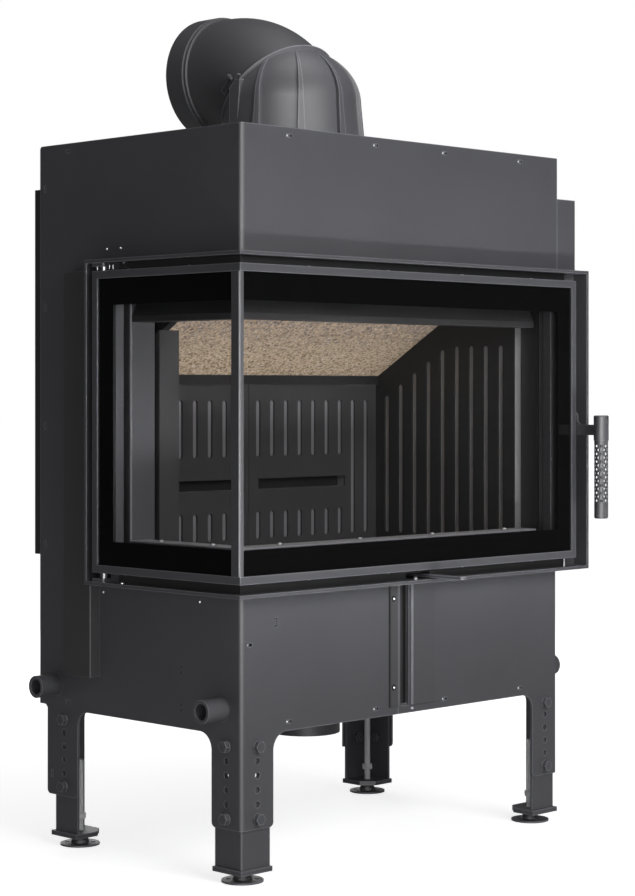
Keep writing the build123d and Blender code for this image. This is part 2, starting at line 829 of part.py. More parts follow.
liner_seam_x = left + body_width / 2 + 9
rear_liner_left = rear_liner(liner_left_x, liner_seam_x - 0.5, -1)
rear_liner_left.label = "rear_liner_left"
rear_liner_right = rear_liner(liner_seam_x + 0.5, liner_right_x, 1)
rear_liner_right.label = "rear_liner_right"


def baffle_under(deep):
    """Height of the baffle's underside at a depth behind the carcass's front."""
    return baffle_low + baffle_slope * (liner_back_deep - deep)


# Right lining plate, cut off along the baffle
with BuildPart() as right_liner:
    with BuildSketch(side_plane(liner_right_x)):
        with BuildLine():
            Polyline(
                (front + liner_front_deep, liner_low),
                (liner_back_y + liner_thick - shell_sheet, liner_low),
                (
                    liner_back_y + liner_thick - shell_sheet,
                    baffle_under(liner_back_deep + liner_thick - shell_sheet),
                ),
                (front + baffle_front_deep, baffle_under(baffle_front_deep)),
                (front + liner_front_deep, baffle_under(baffle_front_deep)),
                close=True,
            )
        make_face()
    extrude(amount=liner_thick)
    with BuildSketch(side_plane(liner_right_x - 1)):
        for index in range(side_groove_count):
            groove_deep = liner_back_deep - side_groove_first - side_groove_pitch * index
            groove_top = min(baffle_under(groove_deep) - 52, baffle_under(baffle_front_deep) - 100)
            with Locations((front + groove_deep, (groove_lower[0] + groove_top) / 2)):
                SlotOverall(groove_top - groove_lower[0], groove_width, rotation=90)
    extrude(amount=groove_depth + 1, mode=Mode.SUBTRACT)
right_liner.part.label = "right_liner"

# Left lining block behind the side window, cut off along the baffle
with BuildPart() as left_liner:
    with BuildSketch(side_plane(left + left_liner_across)):
        left_liner_back = liner_back_deep - rail_ahead - weld_gap
        with BuildLine():
            Polyline(
                (front + duct_post_deep, liner_low), (front + left_liner_back, liner_low),
                (front + left_liner_back, baffle_under(left_liner_back)),
                (front + duct_post_deep, baffle_under(duct_post_deep)), close=True,
            )
        make_face()
    extrude(amount=left_liner_thick)
left_liner.part.label = "left_liner"

# Upright air duct that feeds the lintel duct, beside the left lining
with BuildPart() as duct_post:
    post_left = left + duct_post_across
    post_front = front + duct_post_deep
    block(
        post_left, post_left + duct_post_width, post_front, post_front + duct_post_depth,
        liner_low, surround_high,
    )
    fillet(duct_post.edges().filter_by(Axis.Z).group_by(Axis.Y)[0], bend_radius / 2)
duct_post.part.label = "duct_post"

# Rail on top of the rear lining, bevelled to carry the baffle
with BuildPart() as liner_rail:
    with BuildSketch(side_plane(liner_left_x)):
        with BuildLine():
            Polyline(
                (liner_back_y - rail_ahead, liner_rear_top),
                (shell_back_y - weld_gap, liner_rear_top),
                (shell_back_y - weld_gap, baffle_under(liner_back_deep + liner_thick)),
                (liner_back_y - rail_ahead, baffle_under(liner_back_deep - rail_ahead)),
                close=True,
            )
        make_face()
    extrude(amount=liner_right_x - liner_left_x)
liner_rail.part.label = "liner_rail"

# Sloping baffle over the fire
with BuildPart() as baffle:
    rear_deep = liner_back_deep + liner_thick
    with BuildSketch(side_plane(left + baffle_left)):
        with BuildLine():
            Polyline(
                (front + rear_deep, baffle_under(rear_deep)),
                (front + rear_deep, baffle_under(rear_deep) + baffle_thick),
                (front + baffle_front_deep, baffle_under(baffle_front_deep) + baffle_thick),
                (front + baffle_front_deep, baffle_under(baffle_front_deep)),
                close=True,
            )
        make_face()
    extrude(amount=shell_right_x - shell_sheet - left - baffle_left)
baffle.part.label = "baffle"

# Lintel duct over the window on both glazed sides, with a sloping face and a rounded nose
with BuildPart() as lintel_duct:
    with BuildLine() as lintel_route:
        Polyline((right - window_right, front), (left, front), (left, front + duct_post_deep))
    with BuildSketch(Plane(origin=(right - window_right, front, 0), x_dir=(0, 1, 0), z_dir=(1, 0, 0))):
        with BuildLine():
            Polyline(
                (sheet, surround_high), (sheet, lintel_top), (slope_in, slope_top), (nose_out, nose_top),
                (nose_out, lintel_low), (ledge_back, lintel_low), (ledge_back, surround_high), close=True,
            )
        lintel_face = make_face()
        fillet(lintel_face.vertices().sort_by(Axis.Z)[0:2].sort_by(Axis.Y)[0], nose_radius)
        offset(amount=-ledge_sheet, kind=Kind.INTERSECTION, mode=Mode.SUBTRACT)
    sweep(path=lintel_route.line, transition=Transition.RIGHT)
lintel_duct.part.label = "lintel_duct"

# Ledge behind the window's lower edge
with BuildPart() as front_ledge:
    corner_band(
        -ledge_front, -ledge_back, right - window_right, front + duct_post_deep,
        ledge_top - ledge_sheet, ledge_top,
    )
    corner_band(
        -ledge_back + ledge_sheet, -ledge_back, right - window_right, front + duct_post_deep,
        hearth_top, ledge_top,
    )
front_ledge.part.label = "front_ledge"

# Hinge brackets fixed to the surround's top and bottom plates
with BuildPart() as hinge_brackets:
    for level in (cavity_low, cavity_high - hinge_plate):
        block(
            door_left + 2, left - 4, hinge_y - hinge_plate_ahead, hinge_y + hinge_plate_behind,
            level, level + hinge_plate,
        )
    fillet(hinge_brackets.edges().filter_by(Axis.Z), 4)
    with BuildSketch(Plane.XY.offset(cavity_low - 1)):
        with Locations((hinge_x, hinge_y)):
            Circle(hinge_pin_radius + hinge_gap)
    extrude(amount=cavity_high - cavity_low + 2, mode=Mode.SUBTRACT)
hinge_brackets.part.label = "hinge_brackets"

# Catch on the surround's closing flange, in front of which the lever's nose stops
lever_x_low = door_right + lever_gap
nose_y = door_front + pivot_back + lever_nose_back - lever_hub_radius
with BuildPart() as door_catch:
    block(
        lever_x_low - 4, lever_x_low + lever_thick + 8, nose_y + 1, front - sheet,
        lever_arm_low - 6, lever_arm_high + 14,
    )
    fillet(door_catch.edges().filter_by(Axis.Y), 4)
door_catch.part.label = "door_catch"

# Door frame: an angle section round all four edges of the two leaves
with BuildPart() as door_frame:
    corner_band(surround_out, surround_out - door_depth, door_right, door_rear, door_low, door_high)
    corner_band(
        surround_out - frame_sheet, surround_out - door_depth - 1, door_right - frame_sheet,
        door_rear - frame_sheet, door_low + frame_sheet, door_high - frame_sheet, Mode.SUBTRACT,
    )
    corner_band(
        surround_out + 1, surround_out - frame_sheet - 1, door_right - frame_face,
        door_rear - frame_face_rear, door_low + frame_face, door_high - frame_face, Mode.SUBTRACT,
    )
    upright_edges = door_frame.edges().filter_by(Axis.Z)
    rear_edges = upright_edges.filter_by_position(Axis.Y, door_rear - 1, door_rear + 1)
    chamfer(rear_edges.sort_by(Axis.X)[0], 1.5)
door_frame.part.label = "door_frame"

# Slim corner profile over the joint of the two panes
with BuildPart() as corner_profile:
    corner_band(
        surround_out, surround_out - frame_sheet + glass_gap, door_left + corner_front,
        door_front + corner_side, door_low + frame_face, door_high - frame_face,
    )
    outer_corner = corner_profile.edges().filter_by(Axis.Z).group_by(Axis.X)[0].sort_by(Axis.Y)[0]
    fillet(outer_corner, frame_sheet * 0.7)
corner_profile.part.label = "corner_profile"

glass_out = surround_out - frame_sheet - glass_gap
glass_in = glass_out - glass_thick
pane_low = door_low + frame_sheet + glass_edge_gap
pane_high = door_high - frame_sheet - glass_edge_gap

# Front pane, whose left edge covers the side pane's
with BuildPart() as front_glass:
    block(
        left - glass_out, door_right - frame_sheet - glass_edge_gap,
        front - glass_out, front - glass_in, pane_low, pane_high,
    )
front_glass.part.label = "front_glass"

with BuildPart() as side_glass:
    block(
        left - glass_out, left - glass_in,
        front - glass_in + glass_gap, door_rear - frame_sheet - glass_edge_gap, pane_low, pane_high,
    )
side_glass.part.label = "side_glass"

# Retainer that holds both panes against the frame
retainer_out = glass_in - glass_gap
with BuildPart() as glass_retainer:
    corner_band(
        retainer_out, retainer_out - retainer_thick, door_right - frame_sheet, door_rear - frame_sheet,
        door_low + frame_sheet, door_high - frame_sheet,
    )
    corner_band(
        retainer_out + 1, retainer_out - retainer_thick - 1, door_right - frame_sheet - retainer_width,
        door_rear - frame_sheet - retainer_rear_width, door_low + frame_sheet + retainer_width,
        door_high - frame_sheet - retainer_width, Mode.SUBTRACT,
    )
glass_retainer.part.label = "glass_retainer"

# Rope seal between the retainer and the seat
seal_out = retainer_out - retainer_thick
seal_right = right - 7
seal_rear = front + seat_rear_deep - 2
seal_low = door_low + 20
seal_high = door_high - 20
with BuildPart() as door_seal:
    corner_band(seal_out, seat_out + swivel_gap, seal_right, seal_rear, seal_low, seal_high)
    corner_band(
        seal_out + 1, seat_out - 1, seal_right - seal_width, seal_rear - seal_width,
        seal_low + seal_width, seal_high - seal_width, Mode.SUBTRACT,
    )
door_seal.part.label = "door_seal"

# Hinge pins on their bosses, above and below the side leaf
with BuildPart() as hinge_pins:
    with Locations((hinge_x, hinge_y, door_high)):
        Cylinder(
            hinge_boss_radius, gap_top - hinge_plate - swivel_gap,
            align=(Align.CENTER, Align.CENTER, Align.MIN),
        )
        Cylinder(
            hinge_pin_radius, gap_top - swivel_gap, align=(Align.CENTER, Align.CENTER, Align.MIN)
        )
    with Locations((hinge_x, hinge_y, door_low)):
        Cylinder(
            hinge_boss_radius, gap_bottom - hinge_plate - swivel_gap,
            align=(Align.CENTER, Align.CENTER, Align.MAX),
        )
        Cylinder(
            hinge_pin_radius, gap_bottom - swivel_gap, align=(Align.CENTER, Align.CENTER, Align.MAX)
        )
hinge_pins.part.label = "hinge_pins"

# Shoulder pin of the handle on the door's right edge
pivot_y = door_front + pivot_back
with BuildPart() as handle_pin:
    with BuildSketch(side_plane(door_right)):
        with Locations((pivot_y, pivot_level)):
            Circle(pivot_radius)
    extrude(amount=lever_gap + lever_thick + swivel_gap)
    with BuildSketch(side_plane(lever_x_low + lever_thick + swivel_gap)):
        with Locations((pivot_y, pivot_level)):
            Circle(pivot_radius * 1.6)
    extrude(amount=3)
handle_pin.part.label = "handle_pin"

# Handle lever: hub, neck, arm to the grip and the nose that points at the catch
grip_x = right + grip_beyond
grip_y = door_front - grip_ahead
arm_front = grip_y + 4
with BuildPart() as handle_lever:
    with BuildSketch(side_plane(lever_x_low)):
        with BuildLine():
            Polyline(
                (arm_front, lever_arm_low), (nose_y, lever_arm_low), (nose_y, lever_arm_high - 4),
                (pivot_y + lever_hub_radius, lever_arm_high), (pivot_y + lever_hub_radius, pivot_level),
                (pivot_y - lever_hub_radius, pivot_level), (pivot_y - lever_hub_radius, lever_arm_high),
                (arm_front, lever_arm_high), close=True,
            )
        make_face()
        with Locations((pivot_y, pivot_level)):
            Circle(lever_hub_radius)
            Circle(pivot_radius + hinge_gap, mode=Mode.SUBTRACT)
    extrude(amount=lever_thick)
    cross_edges = handle_lever.edges().filter_by(Axis.X)
    neck = cross_edges.filter_by_position(Axis.Z, lever_arm_high - 1, lever_arm_high + 1)
    fillet(neck.sort_by(lambda edge: abs(edge.center().Y - pivot_y + lever_hub_radius))[0], 11)
handle_lever.part.label = "handle_lever"

# Grip head with its core rod and lower cap
with BuildPart() as grip_head:
    with BuildSketch(front_plane(grip_y)):
        with BuildLine():
            Polyline(
                (grip_x, grip_low), (grip_x + grip_radius, grip_low),
                (grip_x + grip_radius, grip_low + grip_cap), (grip_x + grip_core_radius, grip_low + grip_cap),
                (grip_x + grip_core_radius, grip_high - grip_head_length),
                (grip_x + grip_head_radius, grip_high - grip_head_length),
                (grip_x + grip_head_radius, grip_high), (grip_x, grip_high), close=True,
            )
        make_face()
    revolve(axis=Axis((grip_x, grip_y, 0), (0, 0, 1)))
    rims = grip_head.edges().filter_by(GeomType.CIRCLE).group_by(Axis.Z)
    chamfer(rims[0], 1.5)
    chamfer(rims[-1], 1.5)
    block(
        lever_x_low, lever_x_low + lever_thick, arm_front, grip_y + grip_head_radius + 1,
        lever_arm_low, lever_arm_high, Mode.SUBTRACT,
    )
grip_head.part.label = "grip_head"

# Perforated tube of the grip
with BuildPart() as grip_tube:
    with BuildSketch(Plane.XY.offset(grip_low + grip_cap)):
        with Locations((grip_x, grip_y)):
            Circle(grip_radius)
            Circle(grip_radius - grip_wall, mode=Mode.SUBTRACT)
    extrude(amount=grip_high - grip_head_length - grip_low - grip_cap)
    for row in range(grip_rows):
        row_level = grip_first_row + grip_row_pitch * row
        turn = 22.5 if row % 2 else 0
        for quarter in range(4):
            bearing = turn + 45 * quarter
            drill = Plane(
                origin=(grip_x, grip_y, row_level),
                x_dir=(0, 0, 1), z_dir=(cos(radians(bearing)), sin(radians(bearing)), 0),
            )
            with BuildSketch(drill.offset(-grip_radius - 1)):
                RegularPolygon(grip_hole_radius, 6)
            extrude(amount=2 * grip_radius + 2, mode=Mode.SUBTRACT)
grip_tube.part.label = "grip_tube"


def bell_stock(extra_radius, extra_height, foot):
    """Half section of the flue bell, grown by a little or shrunk for its hollow."""
    with BuildLine() as section:
        base = Line((flue_x, foot), (flue_x + bell_foot_radius + extra_radius, foot))
        wall = Line(base @ 1, (flue_x + bell_shoulder_radius + extra_radius, bell_shoulder))
        EllipticalCenterArc(
            (flue_x, bell_shoulder), bell_shoulder_radius + extra_radius, bell_dome + extra_height,
            start_angle=0, arc_size=90,
        )
        Line((flue_x, bell_shoulder + bell_dome + extra_height), (flue_x, foot))
    make_face(section.edges())


flue_axis = Axis((flue_x, flue_y, 0), (0, 0, 1))

# Hollow of the flue bell
with BuildPart() as bell_hollow:
    with BuildSketch(front_plane(flue_y)):
        bell_stock(-bell_wall, -bell_wall, top_plate_top - 1)
    revolve(axis=flue_axis)
    split(bisect_by=seam_plane.offset(-swivel_gap - bell_wall), keep=Keep.BOTTOM)

# Ribs of the bell: wedges that widen to the foot, cut from stock that sinks into the dome
with BuildPart() as bell_ribs:
    for number in range(-2, 3):
        bearing = radians(270 + rib_angle * number)
        outward = (cos(bearing), sin(bearing), 0)
        rib_face = Plane(origin=(flue_x, flue_y, 0), x_dir=(-outward[1], outward[0], 0), z_dir=outward)
        with BuildSketch(rib_face):
            with BuildLine():
                Polyline(
                    (-rib_foot_width / 2, bell_foot), (rib_foot_width / 2, bell_foot),
                    (rib_top_width / 2, rib_top), (-rib_top_width / 2, rib_top), close=True,
                )
            make_face()
        extrude(amount=bell_flange_radius)
    with BuildSketch(front_plane(flue_y)) as rib_section:
        bell_stock(rib_proud, -2, bell_foot)
    revolve(rib_section.sketch, axis=flue_axis, mode=Mode.INTERSECT)

# Ribbed flue bell with its foot flange, its rim and the two lugs of the clamps
with BuildPart() as flue_bell:
    with BuildSketch(front_plane(flue_y)):
        bell_stock(0, 0, bell_foot - bell_flange)
    revolve(axis=flue_axis)
    with BuildSketch(side_plane(flue_x)) as lug_side:
        with BuildLine():
            Polyline(
                (flue_y + lug_front_top, lug_top), (flue_y + lug_back_top, lug_top),
                (flue_y + lug_back_top, seam_level), (flue_y + lug_back_low, bell_foot),
                (flue_y + lug_front_low, bell_foot), close=True,
            )
        make_face()
    extrude(lug_side.sketch, amount=clamp_out + clamp_width + lug_margin, both=True)
    add(bell_ribs.part)
    with BuildSketch(seam_plane.offset(-swivel_gap)):
        Circle(elbow_flange_radius + rim_margin)
    extrude(amount=-rim_height, taper=rim_taper)
    split(bisect_by=seam_plane.offset(-swivel_gap), keep=Keep.BOTTOM)
    with BuildSketch(Plane.XY.offset(top_plate_top)):
        with Locations((flue_x, flue_y)):
            Circle(bell_flange_radius)
    extrude(amount=bell_flange)
    add(bell_hollow.part, mode=Mode.SUBTRACT)
    with BuildSketch(seam_plane):
        Circle(elbow_radius - elbow_wall + 1)
    extrude(amount=-60, mode=Mode.SUBTRACT)
flue_bell.part.label = "flue_bell"

# Smooth elbow that swivels on the bell, with the bead and the socket for the flue pipe
bend_y = seam_y + elbow_bend * tilt
bend_z = seam_level - elbow_bend * tilt
socket_level = bend_z + elbow_bend
bead_y = front + bead_deep
socket_end_y = bead_y + socket_end_behind
bend_axis = Axis((flue_x, bend_y, bend_z), (-1, 0, 0))
with BuildPart() as flue_elbow:
    with BuildSketch(seam_plane):
        Circle(elbow_radius)
    revolve(axis=bend_axis, revolution_arc=45)
    with BuildSketch(side_plane(flue_x)):
        with BuildLine():
            Polyline(
                (bend_y, socket_level), (bend_y, socket_level + elbow_radius),
                (bead_y - 3, socket_level + elbow_radius), (bead_y - 1.5, socket_level + bead_radius),
                (bead_y + 1.5, socket_level + bead_radius), (bead_y + 3, socket_level + elbow_radius + 1),
                (bead_y + 4, socket_level + elbow_radius + 1), (bead_y + 5.5, socket_level + socket_radius),
                (socket_end_y, socket_level + socket_radius), (socket_end_y, socket_level), close=True,
            )
        make_face()
    revolve(axis=Axis((flue_x, bend_y, socket_level), (0, 1, 0)))
    with BuildSketch(seam_plane):
        Circle(elbow_flange_radius)
    extrude(amount=elbow_flange)
    with BuildSketch(seam_plane):
        Circle(elbow_radius - elbow_wall)
    revolve(axis=bend_axis, revolution_arc=45, mode=Mode.SUBTRACT)
    bores = ((bend_y, elbow_radius - elbow_wall), (bead_y + socket_stop_behind, socket_bore))
    for start_y, bore_radius in bores:
        with BuildSketch(front_plane(start_y)):
            with Locations((flue_x, socket_level)):
                Circle(bore_radius)
        extrude(amount=start_y - socket_end_y - 1, mode=Mode.SUBTRACT)
flue_elbow.part.label = "flue_elbow"

# Clamps on the lugs: a bent front tab, a foot, a side plate and a tongue over the elbow's flange
clamp_side = Plane(origin=(flue_x, seam_y, seam_level), x_dir=(0, tilt, -tilt), z_dir=(1, 0, 0))
tab_back = -clamp_back + clamp_thick
with BuildPart() as flue_clamps:
    for side in (-1, 1):
        with BuildSketch(clamp_side.offset(side * clamp_out)):
            with BuildLine():
                Polyline(
                    (-2 * clamp_back, 0.5), (tab_back, clamp_thick), (tab_back, clamp_height + clamp_thick),
                    (-clamp_back, clamp_height + clamp_thick), (-clamp_back, 2 * clamp_thick),
                    (-2 * clamp_back, 0.5 + clamp_thick), close=True,
                )
            make_face()
            with BuildLine():
                Polyline(
                    (-clamp_back - 6, -swivel_gap), (-3, -swivel_gap), (-3, elbow_flange + 1),
                    (-clamp_back - 6, elbow_flange + 1), close=True,
                )
            make_face()
        extrude(amount=side * clamp_width)
        with BuildSketch(clamp_side.offset(side * clamp_out)):
            with Locations((0, (clamp_height + elbow_flange + swivel_gap) / 2)):
                Rectangle(2 * clamp_back, clamp_height - elbow_flange - swivel_gap)
        extrude(amount=side * clamp_thick)
        with BuildSketch(clamp_side.offset(side * clamp_tongue)):
            with Locations((0, elbow_flange + swivel_gap + clamp_thick / 2)):
                Rectangle(20, clamp_thick)
        extrude(amount=side * (clamp_out - clamp_tongue + clamp_thick))
flue_clamps.part.label = "flue_clamps"


def leg_bolt(plane):
    """Hexagon bolt with its washer, standing on a plane, its shank in the sheet behind."""
    with BuildSketch(plane) as washer:
        Circle(bolt_washer_radius)
    extrude(washer.sketch, amount=bolt_washer)
    with BuildSketch(plane.offset(bolt_washer)) as hexagon:
        RegularPolygon(bolt_flats / 2, 6, major_radius=False)
    extrude(hexagon.sketch, amount=bolt_head)
    with BuildSketch(plane) as shank:
        Circle(bolt_radius)
    extrude(shank.sketch, amount=-sheet)


# Leg bolts outside the sheets
with BuildPart() as leg_bolts:
    for bolt_level in bolt_levels:
        for bolt_y in (front + leg_hole_inset, front + rear_leg_deep - leg_hole_inset):
            leg_bolt(Plane(origin=(left, bolt_y, bolt_level), x_dir=(0, 1, 0), z_dir=(-1, 0, 0)))
            leg_bolt(Plane(origin=(right, bolt_y, bolt_level), x_dir=(0, 1, 0), z_dir=(1, 0, 0)))
        for bolt_x in (left + leg_hole_inset, right - leg_hole_inset):
            leg_bolt(Plane(origin=(bolt_x, front, bolt_level), x_dir=(1, 0, 0), z_dir=(0, -1, 0)))
            leg_bolt(
                Plane(origin=(bolt_x, front + rear_leg_deep, bolt_level), x_dir=(1, 0, 0), z_dir=(0, 1, 0))
            )
leg_bolts.part.label = "leg_bolts"


def leg_nut(plane):
    """Nut on the inner leg's inside, with the end of the bolt through the leg."""
    with BuildSketch(plane) as shank:
        Circle(bolt_radius)
    extrude(shank.sketch, amount=sheet + bolt_head + 3)
    with BuildSketch(plane.offset(sheet)) as hexagon:
        RegularPolygon(bolt_flats / 2, 6, major_radius=False)
    extrude(hexagon.sketch, amount=bolt_head)


def inner_leg(x_skin, y_skin, inward_x, inward_y):
    """Sliding angle of one leg with its foot plate and nuts, from the outer sheets' corner."""
    x_face = x_skin + inward_x * (sheet + inner_leg_gap)
    y_face = y_skin + inward_y * (sheet + inner_leg_gap)
    rod_x = x_skin + inward_x * foot_inset
    rod_y = y_skin + inward_y * foot_inset
    with BuildPart() as leg:
        with BuildSketch(Plane.XY.offset(foot_plate_top)):
            with BuildLine():
                outer = FilletPolyline(
                    (x_face + inward_x * inner_leg_flange, y_face), (x_face, y_face),
                    (x_face, y_face + inward_y * inner_leg_flange), radius=bend_radius - sheet,
                )
                inner = FilletPolyline(
                    (x_face + inward_x * inner_leg_flange, y_face + inward_y * sheet),
                    (x_face + inward_x * sheet, y_face + inward_y * sheet),
                    (x_face + inward_x * sheet, y_face + inward_y * inner_leg_flange), radius=1,
                )
                Line(outer @ 0, inner @ 0)
                Line(outer @ 1, inner @ 1)
            make_face()
        extrude(amount=inner_leg_top - foot_plate_top)
        with BuildSketch(side_plane(x_face - sheet - 1)):
            with Locations((y_skin + inward_y * leg_hole_inset, leg_hole_levels[3])):
                Circle(leg_hole_radius)
        extrude(amount=2 * sheet + 2, mode=Mode.SUBTRACT)
        with BuildSketch(front_plane(y_face + sheet + 1)):
            with Locations((x_skin + inward_x * leg_hole_inset, leg_hole_levels[3])):
                Circle(leg_hole_radius)
        extrude(amount=2 * sheet + 2, mode=Mode.SUBTRACT)
        with BuildSketch(Plane.XY.offset(foot_plate_top - foot_plate)):
            with BuildLine():
                Polyline(
                    (x_skin, y_skin), (x_skin + inward_x * foot_plate_size, y_skin),
                    (x_skin + inward_x * foot_plate_size,
                     y_skin + inward_y * (foot_plate_size - foot_plate_chamfer)),
                    (x_skin + inward_x * (foot_plate_size - foot_plate_chamfer),
                     y_skin + inward_y * foot_plate_size),
                    (x_skin, y_skin + inward_y * foot_plate_size), close=True,
                )
            make_face()
            with Locations((rod_x, rod_y)):
                Circle(rod_radius + rod_gap, mode=Mode.SUBTRACT)
        extrude(amount=foot_plate)
        for level in bolt_levels:
            leg_nut(
                Plane(
                    origin=(x_face, y_skin + inward_y * leg_hole_inset, level),
                    x_dir=(0, 1, 0), z_dir=(inward_x, 0, 0),
                )
            )
            leg_nut(
                Plane(
                    origin=(x_skin + inward_x * leg_hole_inset, y_face, level),
                    x_dir=(1, 0, 0), z_dir=(0, inward_y, 0),
                )
            )
    return leg.part


def foot_screw(x_skin, y_skin, inward_x, inward_y):
    """Threaded rod of one foot with its lock nut."""
    with BuildPart() as rod:
        with Locations((x_skin + inward_x * foot_inset, y_skin + inward_y * foot_inset, disc_hub_top)):
            Cylinder(rod_radius, rod_top - disc_hub_top, align=(Align.CENTER, Align.CENTER, Align.MIN))
        chamfer(rod.edges().group_by(Axis.Z)[-1], 1)
        with BuildSketch(Plane.XY.offset(lock_nut_level)):
            with Locations((x_skin + inward_x * foot_inset, y_skin + inward_y * foot_inset)):
                RegularPolygon(lock_nut_flats / 2, 6, major_radius=False)
        extrude(amount=lock_nut_height)
    return rod.part


def foot_disc(x_skin, y_skin, inward_x, inward_y):
    """Round foot with its cone and two fixing holes."""
    x_middle = x_skin + inward_x * foot_inset
    y_middle = y_skin + inward_y * foot_inset
    with BuildPart() as disc:
        with BuildSketch(front_plane(y_middle)):
            with BuildLine():
                Polyline(
                    (x_middle, 0), (x_middle + disc_radius, 0), (x_middle + disc_radius, disc_rim),
                    (x_middle + disc_hub_radius + 5, disc_rim + 1),
                    (x_middle + disc_hub_radius, disc_hub_top), (x_middle, disc_hub_top), close=True,
                )
            make_face()
        revolve(axis=Axis((x_middle, y_middle, 0), (0, 0, 1)))
        with BuildSketch(Plane.XY.offset(-1)):
            for hole_out in (-disc_hole_out * tilt, disc_hole_out * tilt):
                with Locations((x_middle + hole_out, y_middle - hole_out)):
                    Circle(disc_hole_radius)
        extrude(amount=disc_rim + 3, mode=Mode.SUBTRACT)
    return disc.part


corners = {
    "front_left": (left, front, 1, 1),
    "front_right": (right, front, -1, 1),
    "rear_left": (left, front + rear_leg_deep, 1, -1),
    "rear_right": (right, front + rear_leg_deep, -1, -1),
}

nodes = [
    casing_left.part, casing_right.part, top_plate.part, base_plate.part, rear_plate.part,
    rear_base_plate.part, seam_channel.part, cover_strip.part, door_surround.part, window_plate.part,
    door_seat.part, side_column.part, right_shield.part, rear_shield.part, carrying_tubes.part,
    air_duct.part, firebox_floor.part, firebox_shell.part, air_valve_seat.part, air_slider.part,
    hearth.part, rear_liner_left, rear_liner_right, right_liner.part, left_liner.part, duct_post.part,
    liner_rail.part, baffle.part, lintel_duct.part, front_ledge.part, hinge_brackets.part,
    door_catch.part, door_frame.part, corner_profile.part, front_glass.part, side_glass.part,
    glass_retainer.part, door_seal.part, hinge_pins.part, handle_pin.part, handle_lever.part,
    grip_head.part, grip_tube.part, flue_bell.part, flue_elbow.part, flue_clamps.part, leg_bolts.part,
]
for corner, placing in corners.items():
    for name, make in (("inner_leg", inner_leg), ("foot_screw", foot_screw), ("foot_disc", foot_disc)):
        piece = make(*placing)
        piece.label = f"{name}_{corner}"
        nodes.append(piece)

os.makedirs("parts", exist_ok=True)
for node in nodes:
    export_step(node, f"parts/{node.label}.step")
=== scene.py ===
import bpy
import bmesh
import json
import math
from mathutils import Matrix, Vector


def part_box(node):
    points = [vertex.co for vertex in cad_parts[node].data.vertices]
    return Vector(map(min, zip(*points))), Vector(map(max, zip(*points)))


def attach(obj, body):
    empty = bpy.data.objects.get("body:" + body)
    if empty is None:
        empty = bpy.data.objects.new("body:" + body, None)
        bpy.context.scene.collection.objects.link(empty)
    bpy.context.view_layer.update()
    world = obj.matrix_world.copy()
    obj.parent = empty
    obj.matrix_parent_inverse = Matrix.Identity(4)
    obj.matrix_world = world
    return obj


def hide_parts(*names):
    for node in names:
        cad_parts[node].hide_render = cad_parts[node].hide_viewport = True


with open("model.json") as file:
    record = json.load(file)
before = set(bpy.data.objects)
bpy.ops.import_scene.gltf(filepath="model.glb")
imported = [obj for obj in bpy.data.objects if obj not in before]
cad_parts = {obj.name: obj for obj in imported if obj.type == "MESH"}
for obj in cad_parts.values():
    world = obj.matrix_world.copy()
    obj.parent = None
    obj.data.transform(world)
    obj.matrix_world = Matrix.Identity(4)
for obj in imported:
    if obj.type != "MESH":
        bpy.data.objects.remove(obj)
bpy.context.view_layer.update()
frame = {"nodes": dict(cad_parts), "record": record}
nodes = frame["nodes"]
scene = bpy.context.scene

# Places on the object are in mm from the casing's front left corner, which is here in the row frame
MM = 0.001
LEFT, FRONT = -397.5, -212.75

TO_FRONT, TO_LEFT, TO_TOP, TO_FLOOR = (0, -1, 0), (-1, 0, 0), (0, 0, 1), (0, 0, -1)


def at(across, deep, up):
    """Point given in mm from the casing's front left corner, as metres in the row frame."""
    return Vector(((across + LEFT) * MM, (deep + FRONT) * MM, up * MM))


# Camera, fitted to the photograph: lengths in pixels of a picture 896 high, the eye in mm

PICTURE_HEIGHT = 896.0
FOCAL_LENGTH = 2221.0
SHIFT_ACROSS, SHIFT_UP = -6.5, -57.0
SENSOR = 36.0
EYE = (-2382.7, -2567.0, 783.0)
LOOKING = (math.radians(90), 0, math.radians(-45))

camera_data = bpy.data.cameras.new("camera")
camera_data.sensor_fit = "AUTO"
camera_data.sensor_width = SENSOR
camera_data.lens = FOCAL_LENGTH / PICTURE_HEIGHT * SENSOR
camera_data.shift_x = SHIFT_ACROSS / PICTURE_HEIGHT
camera_data.shift_y = SHIFT_UP / PICTURE_HEIGHT
camera = bpy.data.objects.new("camera", camera_data)
camera.location = at(*EYE)
camera.rotation_euler = LOOKING
scene.collection.objects.link(camera)
scene.camera = camera

# Lights

scene.view_settings.view_transform = "Standard"


def area_light(name, spot, target, width, height, watts):
    """Rectangular soft light in metres, aimed at a point."""
    data = bpy.data.lights.new(name, "AREA")
    data.shape = "RECTANGLE"
    data.size = width
    data.size_y = height
    data.energy = watts
    lamp = bpy.data.objects.new(name, data)
    lamp.location = spot
    lamp.rotation_euler = (Vector(target) - Vector(spot)).to_track_quat("-Z", "Y").to_euler()
    lamp.visible_camera = False
    scene.collection.objects.link(lamp)
    return lamp


area_light("key", (-0.35, -2.9, 1.9), (-0.1, 0, 0.85), 2.0, 1.6, 49)
area_light("top", (0.0, -0.5, 3.8), (0, 0, 1.0), 2.4, 2.0, 30)

# Narrow light from low in front, into the fire chamber; no reflection shows it
fill = area_light("fill", (-0.1, -1.25, 0.06), (0, 0.05, 0.87), 1.3, 0.2, 2.1)
fill.visible_glossy = False
fill.data.spread = math.radians(44)

area_light("back", (1.7, 3.0, 1.0), (0.2, 0, 0.8), 2.0, 1.4, 24)

# Wide light on the left, which shows in reflections only
sheen = area_light("sheen", (-3.4, -3.4, 0.95), (0, 0, 0.9), 3.4, 1.7, 310)
sheen.visible_diffuse = False

# World

WHITE = (1, 1, 1, 1)
SOFT_STRENGTH, SEEN_STRENGTH = 0.077, 1.0


